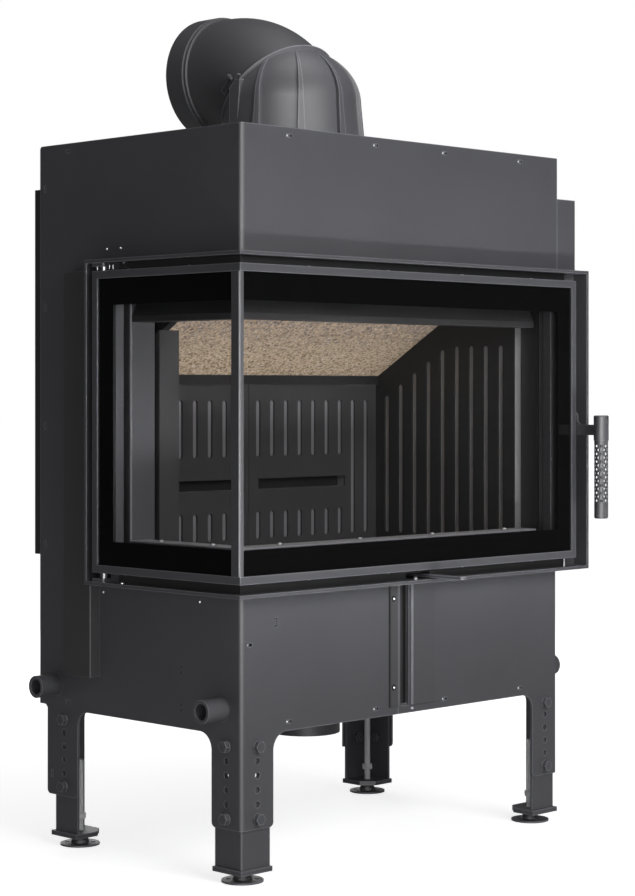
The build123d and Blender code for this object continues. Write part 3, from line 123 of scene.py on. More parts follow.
def background(tree, strength):
    node = tree.nodes.new("ShaderNodeBackground")
    node.inputs["Color"].default_value = WHITE
    node.inputs["Strength"].default_value = strength
    return node.outputs[0]


def white_world():
    """World that is white seen straight or through glass; other rays, glossy ones too, get soft light."""
    world = bpy.data.worlds.new("world")
    world.use_nodes = True
    tree = world.node_tree
    tree.nodes.clear()
    output = tree.nodes.new("ShaderNodeOutputWorld")
    mix = tree.nodes.new("ShaderNodeMixShader")
    path = tree.nodes.new("ShaderNodeLightPath")
    either = tree.nodes.new("ShaderNodeMath")
    either.operation = "MAXIMUM"
    tree.links.new(path.outputs["Is Camera Ray"], either.inputs[0])
    tree.links.new(path.outputs["Is Transmission Ray"], either.inputs[1])
    tree.links.new(either.outputs[0], mix.inputs["Fac"])
    tree.links.new(background(tree, SOFT_STRENGTH), mix.inputs[1])
    tree.links.new(background(tree, SEEN_STRENGTH), mix.inputs[2])
    tree.links.new(mix.outputs[0], output.inputs["Surface"])
    return world


scene.world = white_world()

# Shader nodes, where scales, widths and depths are in the row frame's metres

# Sockets of a Mix node that mixes colours
MIX_FIRST, MIX_SECOND, MIX_RESULT = 6, 7, 2


def new_material(name):
    """Plain material with its node tree and its principled shader."""
    material = bpy.data.materials.new(name)
    material.use_nodes = True
    shader = material.node_tree.nodes["Principled BSDF"]
    return material, material.node_tree, shader


def object_coordinates(tree):
    return tree.nodes.new("ShaderNodeTexCoord").outputs["Object"]


def position(tree):
    """X, Y and Z sockets of the place on the object."""
    node = tree.nodes.new("ShaderNodeSeparateXYZ")
    tree.links.new(object_coordinates(tree), node.inputs["Vector"])
    return node.outputs


def vector_math(tree, operation, vector, other=None):
    node = tree.nodes.new("ShaderNodeVectorMath")
    node.operation = operation
    tree.links.new(vector, node.inputs[0])
    if other is not None:
        node.inputs[1].default_value = other
    return node.outputs["Value" if operation == "LENGTH" else "Vector"]


def noise(tree, scale, detail=2.0, roughness=0.5):
    node = tree.nodes.new("ShaderNodeTexNoise")
    node.inputs["Scale"].default_value = scale
    node.inputs["Detail"].default_value = detail
    node.inputs["Roughness"].default_value = roughness
    tree.links.new(object_coordinates(tree), node.inputs["Vector"])
    return node.outputs["Fac"]


def ramp(tree, factor, stops):
    """Colour ramp from (place, colour) pairs."""
    node = tree.nodes.new("ShaderNodeValToRGB")
    elements = node.color_ramp.elements
    while len(elements) < len(stops):
        elements.new(0.5)
    for element, (place, colour) in zip(elements, stops):
        element.position = place
        element.color = (*colour, 1)
    tree.links.new(factor, node.inputs["Fac"])
    return node.outputs["Color"]


def spread(tree, factor, low, high, start=0.0, end=1.0):
    """Value from low to high as a factor rises from start to end."""
    node = tree.nodes.new("ShaderNodeMapRange")
    node.inputs["From Min"].default_value = start
    node.inputs["From Max"].default_value = end
    node.inputs["To Min"].default_value = low
    node.inputs["To Max"].default_value = high
    tree.links.new(factor, node.inputs["Value"])
    return node.outputs["Result"]


def bump(tree, height, distance, strength=1.0, below=None):
    """Normal of a relief whose full height is a distance, on top of another relief if there is one."""
    node = tree.nodes.new("ShaderNodeBump")
    node.inputs["Distance"].default_value = distance
    node.inputs["Strength"].default_value = strength
    tree.links.new(height, node.inputs["Height"])
    if below is not None:
        tree.links.new(below, node.inputs["Normal"])
    return node.outputs["Normal"]


def blend(tree, factor, low, high):
    """Mix of two colours, each a socket or a constant."""
    node = tree.nodes.new("ShaderNodeMix")
    node.data_type = "RGBA"
    tree.links.new(factor, node.inputs["Factor"])
    for socket, value in ((node.inputs[MIX_FIRST], low), (node.inputs[MIX_SECOND], high)):
        if isinstance(value, tuple):
            socket.default_value = (*value, 1)
        else:
            tree.links.new(value, socket)
    return node.outputs[MIX_RESULT]


def times(tree, first, second):
    """Product of two colours."""
    node = tree.nodes.new("ShaderNodeMix")
    node.data_type = "RGBA"
    node.blend_type = "MULTIPLY"
    node.inputs["Factor"].default_value = 1.0
    tree.links.new(first, node.inputs[MIX_FIRST])
    tree.links.new(second, node.inputs[MIX_SECOND])
    return node.outputs[MIX_RESULT]


# Parts that the coats share

CLOUD_SCALE, CLOUD_DETAIL = 5.0, 3.0
CLOUD_START, CLOUD_END = 0.3, 0.7
PATCH_SCALE, PATCH_DETAIL, PATCH_ROUGHNESS = 60.0, 4.0, 0.6
GLOSS_DRIFT = 0.05
PAINT_GRAIN, PAINT_DEPTH = 900.0, 0.00008
GRAIN_DETAIL = 2.0
EDGE_SAMPLES = 5
EDGE_FULL, EDGE_NONE = 0.55, 0.92


def grey(level, blue):
    """Grey whose blue part differs a little from the rest."""
    return level, level, blue


def shade(colour, factor):
    return tuple(part * factor for part in colour)


def clouded(tree, cloud, dark, light):
    """Colour that drifts between two tones with a noise."""
    return ramp(tree, cloud, ((CLOUD_START, dark), (CLOUD_END, light)))


def faint_cloud(tree):
    """Near white to multiply a colour with, so that it isn't flat."""
    return clouded(tree, noise(tree, CLOUD_SCALE, CLOUD_DETAIL), (0.94, 0.94, 0.94), (1.0, 1.0, 1.0))


def grained(tree, grain=PAINT_GRAIN, depth=PAINT_DEPTH):
    """Normal of a fine even grain."""
    return bump(tree, noise(tree, grain, GRAIN_DETAIL), depth)


def edges(tree, width):
    """Rises from 0 on flat ground to 1 along outer edges, where a painted highlight goes."""
    node = tree.nodes.new("ShaderNodeAmbientOcclusion")
    node.samples = EDGE_SAMPLES
    node.inside = True
    node.only_local = True
    node.inputs["Distance"].default_value = width
    return spread(tree, node.outputs["AO"], 1.0, 0.0, EDGE_FULL, EDGE_NONE)


# Painted and plated metal

CAST = {"grain": 420.0, "depth": 0.00018}
BOARD = {"grain": 500.0, "depth": 0.0002}
PLATED = {"grain": 700.0, "depth": 0.00003}
WOVEN = {"grain": 300.0, "depth": 0.0006}
NO_EDGE = {"edge_gain": 1.0}


def coated(name, colour, roughness=0.5, specular=0.5, grain=PAINT_GRAIN, depth=PAINT_DEPTH,
           metallic=0.0, drift=0.06, edge_gain=2.2, edge_width=0.0016):
    """Metal with a fine grain over a coarser one, faint clouding, uneven gloss and a painted highlight that
    lightens outer edges.
    """
    material, tree, shader = new_material(name)
    cloud = noise(tree, CLOUD_SCALE, CLOUD_DETAIL)
    paint = clouded(tree, cloud, shade(colour, 1 - drift), shade(colour, 1 + drift))
    # Painted highlight: the colour is lighter along outer edges
    if edge_gain > 1.0:
        paint = blend(tree, edges(tree, edge_width), paint, shade(colour, edge_gain))
    tree.links.new(paint, shader.inputs["Base Color"])
    patch = noise(tree, PATCH_SCALE, PATCH_DETAIL, PATCH_ROUGHNESS)
    gloss = spread(tree, patch, roughness - GLOSS_DRIFT, roughness + GLOSS_DRIFT)
    tree.links.new(gloss, shader.inputs["Roughness"])
    coarse_grain, coarse_depth, coarse_strength = grain / 5, depth * 1.4, 0.5
    coarse = noise(tree, coarse_grain, GRAIN_DETAIL)
    relief = bump(tree, coarse, coarse_depth, coarse_strength, grained(tree, grain, depth))
    tree.links.new(relief, shader.inputs["Normal"])
    shader.inputs["Specular IOR Level"].default_value = specular
    shader.inputs["Metallic"].default_value = metallic
    return material


anthracite = coated("anthracite_coat", grey(0.094, 0.105), edge_gain=2.8, edge_width=0.0020)
frame_coat = coated("frame_coat", grey(0.084, 0.093), roughness=0.46, edge_gain=3.2, edge_width=0.0018)
clamp_coat = coated("clamp_coat", grey(0.07, 0.076), roughness=0.45, edge_gain=4.0, edge_width=0.0024)
inner_coat = coated("inner_coat", grey(0.125, 0.138), edge_gain=3.2, edge_width=0.0022)
duct_coat = coated("duct_coat", grey(0.045, 0.047), specular=0.4)
# Much lighter than the ledge should look, because little light gets in behind the glass
ledge_coat = coated("ledge_coat", grey(0.44, 0.47), **NO_EDGE)
# The bell's coat is a lighter copy of the cast iron's coat, as painted light
bell_coat = coated(
    "bell_coat", grey(0.148, 0.164), roughness=0.48, specular=0.7, **CAST, edge_gain=2.4, edge_width=0.0026,
)
shield_coat = coated("shield_coat", grey(0.03, 0.031), specular=0.4)
side_coat = coated("side_coat", grey(0.064, 0.068), specular=0.4, edge_gain=2.6)
rail_coat = coated("rail_coat", grey(0.032, 0.034), roughness=0.55, specular=0.3)
black_coat = coated("black_coat", grey(0.012, 0.013), specular=0.2)
handle_coat = coated("handle_coat", grey(0.085, 0.092), roughness=0.42)
cast_coat = coated("cast_coat", grey(0.094, 0.104), roughness=0.56, specular=0.55, **CAST)
lining = coated("lining", grey(0.075, 0.078), roughness=0.62, specular=0.3, **BOARD, **NO_EDGE)
zinc = coated("zinc", grey(0.80, 0.82), roughness=0.32, **PLATED, metallic=0.7)
dull_zinc = coated("dull_zinc", grey(0.34, 0.36), roughness=0.4, **PLATED, metallic=0.5)
bright_zinc = coated("bright_zinc", grey(0.96, 0.97), roughness=0.45, **PLATED, drift=0.02, **NO_EDGE)
dark_zinc = coated("dark_zinc", grey(0.16, 0.17), roughness=0.3, **PLATED, metallic=0.6, **NO_EDGE)
rope = coated("rope", grey(0.05, 0.05), roughness=0.9, specular=0.1, **WOVEN, **NO_EDGE)
# Near black for painted shade, put where there is only shade
painted_shade = coated("painted_shade", grey(0.006, 0.006), roughness=0.8, specular=0.1, **NO_EDGE)

# Coats that change from place to place, in fixed places on the object


def stepped(name, axis, place, width, low, high, roughness=0.5, specular=0.4, grain=PAINT_GRAIN,
            depth=PAINT_DEPTH):
    """Coat that turns from one colour to another along an axis of the row frame."""
    material, tree, shader = new_material(name)
    change = spread(tree, position(tree)[axis], 0.0, 1.0, place - width / 2, place + width / 2)
    cloud = noise(tree, 9.0, CLOUD_DETAIL)
    sides = [clouded(tree, cloud, shade(colour, 0.93), shade(colour, 1.07)) for colour in (low, high)]
    tree.links.new(blend(tree, change, *sides), shader.inputs["Base Color"])
    shader.inputs["Roughness"].default_value = roughness
    shader.inputs["Specular IOR Level"].default_value = specular
    tree.links.new(grained(tree, grain, depth), shader.inputs["Normal"])
    return material


def banded(name, axis, start, end, stops):
    """Coat in plain bands along an axis of the row frame, from (place, colour) pairs in metres."""
    material, tree, shader = new_material(name)
    factor = spread(tree, position(tree)[axis], 0.0, 1.0, start, end)
    bands = ramp(tree, factor, [((place - start) / (end - start), colour) for place, colour in stops])
    bands.node.color_ramp.interpolation = "CONSTANT"
    tree.links.new(times(tree, bands, faint_cloud(tree)), shader.inputs["Base Color"])
    patch = noise(tree, PATCH_SCALE, PATCH_DETAIL, PATCH_ROUGHNESS)
    tree.links.new(spread(tree, patch, 0.45, 0.55), shader.inputs["Roughness"])
    tree.links.new(grained(tree), shader.inputs["Normal"])
    return material


# Bands along the seam: painted shade at the seam and in the channel, the strap's own grey, and painted
# light on the flank
SEAM_START, STRAP_START, FLANK_START, CHANNEL_START, SEAM_END = -0.0600, -0.0562, -0.0392, -0.0338, 0.0
seam_coat = banded("seam_coat", "X", SEAM_START, SEAM_END, (
    (SEAM_START, grey(0.03, 0.033)), (STRAP_START, grey(0.080, 0.088)),
    (FLANK_START, grey(0.15, 0.163)), (CHANNEL_START, grey(0.030, 0.032)),
))

# Painted highlight: a light band along the cover strip's left edge, before its face
COVER_START, COVER_FACE_START, COVER_END = -0.0100, -0.0021, 0.20
cover_coat = banded("cover_coat", "X", COVER_START, COVER_END, (
    (COVER_START, grey(0.22, 0.24)), (COVER_FACE_START, grey(0.090, 0.100)),
))

# The corner's painted highlight is a bright line just behind its front face
corner_low, corner_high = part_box("corner_profile")
CORNER_MARGIN = 0.001
LINE_START, LINE_END = 0.0007, 0.0038
corner_start, corner_end = corner_low[1] - CORNER_MARGIN, corner_high[1] + CORNER_MARGIN
corner_coat = banded("corner_coat", "Y", corner_start, corner_end, (
    (corner_start, grey(0.105, 0.116)), (corner_low[1] + LINE_START, grey(0.62, 0.66)),
    (corner_low[1] + LINE_END, grey(0.07, 0.077)),
))

# The door's height, in metres
DOOR_MIDDLE, DOOR_HALF = 0.73175, 0.2515
SEAT_MIDDLE_HALF = 0.05
SEAT_FRONT_END, SEAT_BACK_START = 0.065, 0.069


def door_seat_coat():
    """Seat round the door: painted shadow, near black, above and below it, grey beside it, and behind it
    painted light on the left and painted shade on the right.
    """
    material, tree, shader = new_material("seat_coat")
    place = position(tree)
    at_door = tree.nodes.new("ShaderNodeMath")
    at_door.operation = "COMPARE"
    at_door.inputs[1].default_value = DOOR_MIDDLE
    at_door.inputs[2].default_value = DOOR_HALF
    tree.links.new(place["Z"], at_door.inputs[0])
    # Painted shadow: near black above and below the door
    beside = blend(tree, at_door.outputs[0], grey(0.012, 0.013), grey(0.05, 0.054))
    left_side = spread(tree, place["X"], 1.0, 0.0, -SEAT_MIDDLE_HALF, SEAT_MIDDLE_HALF)
    # Behind the door, painted light on the left and painted shade on the right
    behind = blend(tree, left_side, grey(0.045, 0.048), grey(0.135, 0.149))
    depth = spread(tree, place["Y"], 0.0, 1.0, SEAT_FRONT_END, SEAT_BACK_START)
    colour = blend(tree, depth, beside, behind)
    tree.links.new(times(tree, colour, faint_cloud(tree)), shader.inputs["Base Color"])
    tree.links.new(grained(tree), shader.inputs["Normal"])
    return material


seat_coat = door_seat_coat()

# The shell is painted dark behind this line, as painted shade, and lighter in front of it
SHELL_LINE, SHELL_LINE_WIDTH = -0.149, 0.004
shell_coat = stepped(
    "shell_coat", "Y", SHELL_LINE, SHELL_LINE_WIDTH, grey(0.085, 0.09), grey(0.02, 0.021),
    roughness=0.6, specular=0.2,
)

# Groove floors are lighter than they should look, because little light gets in behind the glass
GROOVE_STEP, GROOVE_STEP_WIDTH = 0.0034, 0.0008
LINING_FINISH = {"roughness": 0.62, "specular": 0.3, **BOARD}
rear_lining = stepped(
    "rear_lining", "Y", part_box("rear_liner_left")[0][1] + GROOVE_STEP, GROOVE_STEP_WIDTH,
    grey(0.068, 0.071), grey(0.27, 0.285), **LINING_FINISH,
)
# The right liner's face is painted darker than the lining, as painted shade
right_lining = stepped(
    "right_lining", "X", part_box("right_liner")[0][0] + GROOVE_STEP, GROOVE_STEP_WIDTH,
    grey(0.026, 0.027), grey(0.50, 0.51), **LINING_FINISH,
)

# Vermiculite board

SPECK_SCALE, SPECK_DEPTH = 300.0, 0.0005
WARM_SPECKS = (
    (0.0, (0.24, 0.17, 0.11)), (0.16, (0.50, 0.37, 0.25)), (0.5, (0.78, 0.60, 0.42)),
    (0.88, (0.92, 0.74, 0.56)), (0.985, (0.94, 0.80, 0.62)), (1.0, (0.98, 0.98, 0.98)),
)
COOL_SPECKS = (
    (0.0, (0.05, 0.07, 0.15)), (0.40, (0.10, 0.11, 0.18)), (0.46, (0.46, 0.40, 0.36)),
    (1.0, (0.80, 0.56, 0.34)),
)
COOL_START, COOL_END, COOL_MOST = 0.84, 0.94, 0.92
DARK_END, SPECKS_START = -0.3010, -0.3000


def vermiculite_board():
    """Speckled board: warm low down, cooler and darker near its top, and painted shade, dark, at its left
    end.
    """
    material, tree, shader = new_material("vermiculite")
    speck = tree.nodes.new("ShaderNodeTexVoronoi")
    speck.inputs["Scale"].default_value = SPECK_SCALE
    tree.links.new(object_coordinates(tree), speck.inputs["Vector"])
    parts = tree.nodes.new("ShaderNodeSeparateColor")
    tree.links.new(speck.outputs["Color"], parts.inputs["Color"])
    warm = ramp(tree, parts.outputs[0], WARM_SPECKS)
    cool = ramp(tree, parts.outputs[1], COOL_SPECKS)
    place = position(tree)
    cooling = spread(tree, place["Z"], 0.0, COOL_MOST, COOL_START, COOL_END)
    specks = blend(tree, cooling, warm, cool)
    # Painted shade: the board's left end is dark
    beyond_end_shade = spread(tree, place["X"], 0.0, 1.0, DARK_END, SPECKS_START)
    tree.links.new(blend(tree, beyond_end_shade, grey(0.03, 0.031), specks), shader.inputs["Base Color"])
    tree.links.new(bump(tree, parts.outputs[0], SPECK_DEPTH), shader.inputs["Normal"])
    shader.inputs["Roughness"].default_value = 0.85
    shader.inputs["Specular IOR Level"].default_value = 0.1
    return material


vermiculite = vermiculite_board()

# Glass and its print


def pane_finish(name, scale, dark, light, roughness, specular, alpha=1.0):
    """Smooth dark surface with a faint cloud in its colour."""
    material, tree, shader = new_material(name)
    tree.links.new(clouded(tree, noise(tree, scale), dark, light), shader.inputs["Base Color"])
    shader.inputs["Roughness"].default_value = roughness
    shader.inputs["Specular IOR Level"].default_value = specular
    shader.inputs["Alpha"].default_value = alpha
    return material


glass = pane_finish("clear_glass", 8.0, grey(0.010, 0.011), grey(0.013, 0.014), 0.02, 0.5, alpha=0.08)
printed = pane_finish("printed_border", 40.0, grey(0.0030, 0.0032), grey(0.0042, 0.0045), 0.06, 0.14)

# Grip, with painted shade, near black, inside the wall of the tube

grip_low, grip_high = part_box("grip_tube")
grip_x, grip_y = (grip_low[0] + grip_high[0]) / 2, (grip_low[1] + grip_high[1]) / 2
INNER_SHADE_DEPTH, PAINT_FULL = 0.0022, 0.0016


def grip_finish():
    """Handle paint on the outside of the tube and painted shade, near black, on the inside."""
    material, tree, shader = new_material("grip_coat")
    from_axis = vector_math(tree, "SUBTRACT", object_coordinates(tree), (grip_x, grip_y, 0.0))
    across = vector_math(tree, "MULTIPLY", from_axis, (1.0, 1.0, 0.0))
    distance = vector_math(tree, "LENGTH", across)
    radius = (grip_high[0] - grip_low[0]) / 2
    outside = spread(tree, distance, 0.0, 1.0, radius - INNER_SHADE_DEPTH, radius - PAINT_FULL)
    cloud = noise(tree, CLOUD_SCALE, CLOUD_DETAIL)
    paint = clouded(tree, cloud, grey(0.083, 0.090), grey(0.092, 0.10))
    # Painted shade: near black inside the tube
    tree.links.new(blend(tree, outside, grey(0.004, 0.004), paint), shader.inputs["Base Color"])
    tree.links.new(spread(tree, outside, 0.9, 0.42), shader.inputs["Roughness"])
    tree.links.new(spread(tree, outside, 0.0, 0.5), shader.inputs["Specular IOR Level"])
    tree.links.new(grained(tree), shader.inputs["Normal"])
    return material


grip_coat = grip_finish()

# Coats onto the CAD nodes

painted = {
    "anthracite_steel": anthracite, "dark_steel": inner_coat, "cast_iron": cast_coat, "lining": lining,
    "vermiculite": vermiculite, "glass": glass, "rope": rope, "zinc": zinc, "handle_black": handle_coat,
}
special = {
    "door_frame": frame_coat, "corner_profile": corner_coat, "door_surround": frame_coat,
    "window_plate": black_coat, "door_seat": seat_coat, "glass_retainer": black_coat,
    "lintel_duct": duct_coat, "front_ledge": ledge_coat, "firebox_shell": shell_coat,
    "liner_rail": rail_coat, "hinge_pins": dark_zinc, "handle_pin": dark_zinc,
    "flue_clamps": clamp_coat, "seam_channel": seam_coat, "cover_strip": cover_coat,
    "grip_tube": grip_coat, "flue_bell": bell_coat, "rear_shield": shield_coat,
    "side_column": side_coat, "rear_liner_left": rear_lining, "rear_liner_right": rear_lining,
    "right_liner": right_lining,
}
slot_of = {entry["node"]: entry["material_slot"] for entry in frame["record"]["subparts"]}

LEFT_SHARP = ("glass", "vermiculite", "rope")
WIDE_EDGED = ("corner_profile", "door_surround", "cover_strip", "side_column")
WIDE_EDGE, FINE_EDGE = 0.0008, 0.0006
EDGE_ANGLE = math.radians(28)
EDGE_SEGMENTS = 2
WELD_DISTANCE = 0.00001


def soften(obj, width):
    """Small rounded edges that catch the light, on a CAD node."""
    weld = obj.modifiers.new("weld", "WELD")
    weld.merge_threshold = WELD_DISTANCE
    edge = obj.modifiers.new("edge", "BEVEL")
    edge.width = width
    edge.segments = EDGE_SEGMENTS
    edge.limit_method = "ANGLE"
    edge.angle_limit = EDGE_ANGLE
    edge.harden_normals = False
    edge.use_clamp_overlap = True
    normal = obj.modifiers.new("normal", "WEIGHTED_NORMAL")
    normal.keep_sharp = True


for name, node in nodes.items():
    material = special.get(name, painted[slot_of[name]])
    node.data.materials.clear()
    node.data.materials.append(material)
    if slot_of[name] not in LEFT_SHARP:
        soften(node, WIDE_EDGE if name in WIDE_EDGED else FINE_EDGE)

# Tools for new pieces


def add_piece(name, mesh, material, body):
    """Object from a mesh in the row frame, which rides on a body."""
    mesh.materials.append(material)
    piece = bpy.data.objects.new(name, mesh)
    scene.collection.objects.link(piece)
    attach(piece, body)
    return piece


def finished(shape, name, smooth=False):
    """Mesh from a bmesh, with its normals outward."""
    bmesh.ops.recalc_face_normals(shape, faces=shape.faces)
    mesh = bpy.data.meshes.new(name)
    shape.to_mesh(mesh)
    shape.free()
    if smooth:
        mesh.shade_smooth()
    return mesh


def turned(shape, spot, axis, profile, sides=20):
    """Adds a turned body: the profile is (radius, height) pairs in mm along an axis from a point."""
    along = Vector(axis).normalized()
    across = along.orthogonal().normalized()
    other = along.cross(across)
    rings = []
    for radius, height in profile:
        ring = []
        for k in range(sides):
            angle = 2 * math.pi * k / sides
            out = (across * math.cos(angle) + other * math.sin(angle)) * radius * MM
            ring.append(shape.verts.new(spot + along * height * MM + out))
        rings.append(ring)
    for low, high in zip(rings, rings[1:]):
        for k in range(sides):
            n = (k + 1) % sides
            shape.faces.new((low[k], low[n], high[n], high[k]))
    shape.faces.new(list(reversed(rings[0])))
    shape.faces.new(rings[-1])


def screws(name, body, spots, radius, height, material=zinc, sides=20):
    """Domed screw heads with a driver recess, each given as a point and an outward axis."""
    shape = bmesh.new()
    profile = (
        (radius, -0.3), (radius, 0.25 * height), (radius * 0.88, 0.62 * height),
        (radius * 0.66, 0.88 * height), (radius * 0.40, height), (radius * 0.34, 0.55 * height),
    )
    for spot, axis in spots:
        turned(shape, spot, axis, profile, sides)
    return add_piece(name, finished(shape, name, True), material, body)


def boxes_mesh(name, boxes):
    """One mesh of several boxes, each given as a lowest and a highest point."""
    shape = bmesh.new()
    for low, high in boxes:
        made = bmesh.ops.create_cube(shape, size=1.0)["verts"]
        for vertex in made:
            vertex.co = Vector(low[i] + (vertex.co[i] + 0.5) * (high[i] - low[i]) for i in range(3))
    return finished(shape, name)


# Screws of the ledge, the strap and the cover, with painted shadow, a dark ring, round the first two kinds

LEDGE_TOP = 533.4
FRONT_LEDGE_Y, SIDE_LEDGE_X = 40.0, 32.5
STRAP_X, STRAP_FACE, STRAP_SCREW_HEIGHTS = 348.5, -2.5, (432.6, 282.9)
RING_LOW, RING_HIGH, RING_SIDES = -0.2, 0.12, 24
LEDGE_RING, STRAP_RING = 7.6, 4.8

ledge_spots = [(at(x, FRONT_LEDGE_Y, LEDGE_TOP), TO_TOP) for x in (123.0, 310.8, 491.6, 685.0)]
ledge_spots += [(at(SIDE_LEDGE_X, y, LEDGE_TOP), TO_TOP) for y in (102.0, 229.5)]
strap_spots = [(at(STRAP_X, STRAP_FACE, z), TO_FRONT) for z in STRAP_SCREW_HEIGHTS]
screws("ledge_screws", "firebox", ledge_spots, 3.9, 2.8)
# Dark rings round the screws are painted shadow
ring_shape = bmesh.new()
for spots, ring_radius in ((ledge_spots, LEDGE_RING), (strap_spots, STRAP_RING)):
    for spot, axis in spots:
        turned(ring_shape, spot, axis, ((ring_radius, RING_LOW), (ring_radius, RING_HIGH)), RING_SIDES)
add_piece("screw_shadow_rings", finished(ring_shape, "screw_shadow_rings"), painted_shade, "firebox")
screws("strap_screws", "firebox", strap_spots, 2.3, 2.0)
screws("cover_screw", "firebox", [(at(396.0, 0.0, 243.6), TO_FRONT)], 3.0, 1.8, dull_zinc)

# Screws of the left side and of the door's frame

SIDE_SCREW_PLACES = ((331.8, 1021.8), (295.9, 1021.8), (98.0, 444.0), (341.0, 444.0))
FRAME_SCREW_XS, FRAME_SCREW_YS = (121.2, 306.3, 492.6, 677.8), (90.0, 240.0)
FRAME_LINE, FRAME_TOP, FRAME_BOTTOM = -29.0, 982.9, 480.6

screws("side_screws", "firebox", [(at(0.0, y, z), TO_LEFT) for y, z in SIDE_SCREW_PLACES], 2.0, 1.3)
screws(
    "frame_screws", "door",
    [(at(x, FRAME_LINE, FRAME_TOP), TO_TOP) for x in FRAME_SCREW_XS]
    + [(at(x, FRAME_LINE, FRAME_BOTTOM), TO_FLOOR) for x in FRAME_SCREW_XS]
    + [(at(FRAME_LINE, y, FRAME_TOP), TO_TOP) for y in FRAME_SCREW_YS],
    2.6, 1.5, frame_coat,
)

# Small domes at the tab ends, bright zinc as a painted highlight, and painted shade, dark boxes, in the
# open ends of the slots of the outer sheets

TAB_XS, UPPER_TAB_Z, LOWER_TAB_Z = (105.0, 307.0, 479.0, 681.0), 1194.0, 251.0
CORNER_TAB = (18.0, 381.0)
SIDE_MARK_HEIGHTS = (335.5, 326.4, 274.0, 265.4)

tab_spots = [(x, z) for z in (UPPER_TAB_Z, LOWER_TAB_Z) for x in TAB_XS] + [CORNER_TAB]
# The domes' bright zinc is a painted highlight
screws("tab_ends", "firebox", [(at(x - 3.9, 0.9, z), TO_FRONT) for x, z in tab_spots], 1.6, 0.8, sides=12)
# Dark boxes in the slots' open ends are painted shade
tab_gap_shadows = [(at(x + 3.6, 0.55, z - 1.9), at(x + 5.3, 1.2, z + 1.9)) for x, z in tab_spots]
add_piece("tab_gap_shadows", boxes_mesh("tab_gap_shadows", tab_gap_shadows), painted_shade, "firebox")
# Dark marks on the left side are painted shade
side_shadow_marks = [(at(-0.06, 142.6, z - 1.4), at(0.4, 144.2, z + 1.4)) for z in SIDE_MARK_HEIGHTS]
add_piece("side_shadow_marks", boxes_mesh("side_shadow_marks", side_shadow_marks), painted_shade, "firebox")

# Hinge and catch hardware in the gaps above and below the door, with painted highlights for the lit edges
# of the hinge brackets

UPPER_GAP_LOW, UPPER_GAP_HIGH = 985.0, 996.4
LOWER_GAP_LOW = 464.5
LEVER_TOP = 464.9
HINGE_RODS = ((320.5, 0.8), (289.3, 0.7), (280.1, 0.9))
HINGE_ROD_X, HINGE_ROD_LENGTH = -29.5, 7.2
CATCH_ROD_RADIUS, CATCH_ROD_LENGTH = 1.6, 13.5
SMALL_ROD_SIDES = 12

# Thin dull zinc rods stand for the lit edges of the hinge brackets: painted highlights
gap_shape = bmesh.new()
for y, radius in HINGE_RODS:
    hinge_rod = ((radius, 0.0), (radius, HINGE_ROD_LENGTH))
    turned(gap_shape, at(HINGE_ROD_X, y, UPPER_GAP_LOW), TO_TOP, hinge_rod, SMALL_ROD_SIDES)
add_piece("upper_hinge_glints", finished(gap_shape, "upper_hinge_glints"), dull_zinc, "firebox")
screws("upper_gap_bolt", "firebox", [(at(-14.0, 268.0, UPPER_GAP_HIGH), TO_FLOOR)], 4.2, 3.6)
screws("lower_gap_bolt", "firebox", [(at(-24.0, 263.0, LOWER_GAP_LOW), TO_TOP)], 3.6, 3.2)
bolt_spots = [(at(-24.0, y, FRAME_BOTTOM), TO_FLOOR) for y in (280.0, 254.0)]
screws("lower_frame_bolts", "door", bolt_spots, 3.6, 2.6, frame_coat)
screws("lever_bolt", "air_control", [(at(374.5, -28.0, LEVER_TOP), TO_TOP)], 4.2, 4.6, dull_zinc)
catch_shape = bmesh.new()
catch_profile = ((CATCH_ROD_RADIUS, 0.0), (CATCH_ROD_RADIUS, CATCH_ROD_LENGTH))
turned(catch_shape, at(779.5, -22.0, LOWER_GAP_LOW), TO_TOP, catch_profile, SMALL_ROD_SIDES)
add_piece("catch_rod", finished(catch_shape, "catch_rod"), dull_zinc, "firebox")

# Threaded rods with their lock nuts

ROD_LOW, ROD_HIGH, ROD_RADIUS = 16.5, 146.2, 6.0
THREAD_PITCH, THREAD_DEPTH = 2.0, 0.62
THREAD_CREST = (0.38, 0.62)
THREAD_SIDES = 18
NUT_LOW, NUT_HIGH, NUT_FLATS, NUT_CHAMFER = 44.0, 54.0, 19.0, 1.2


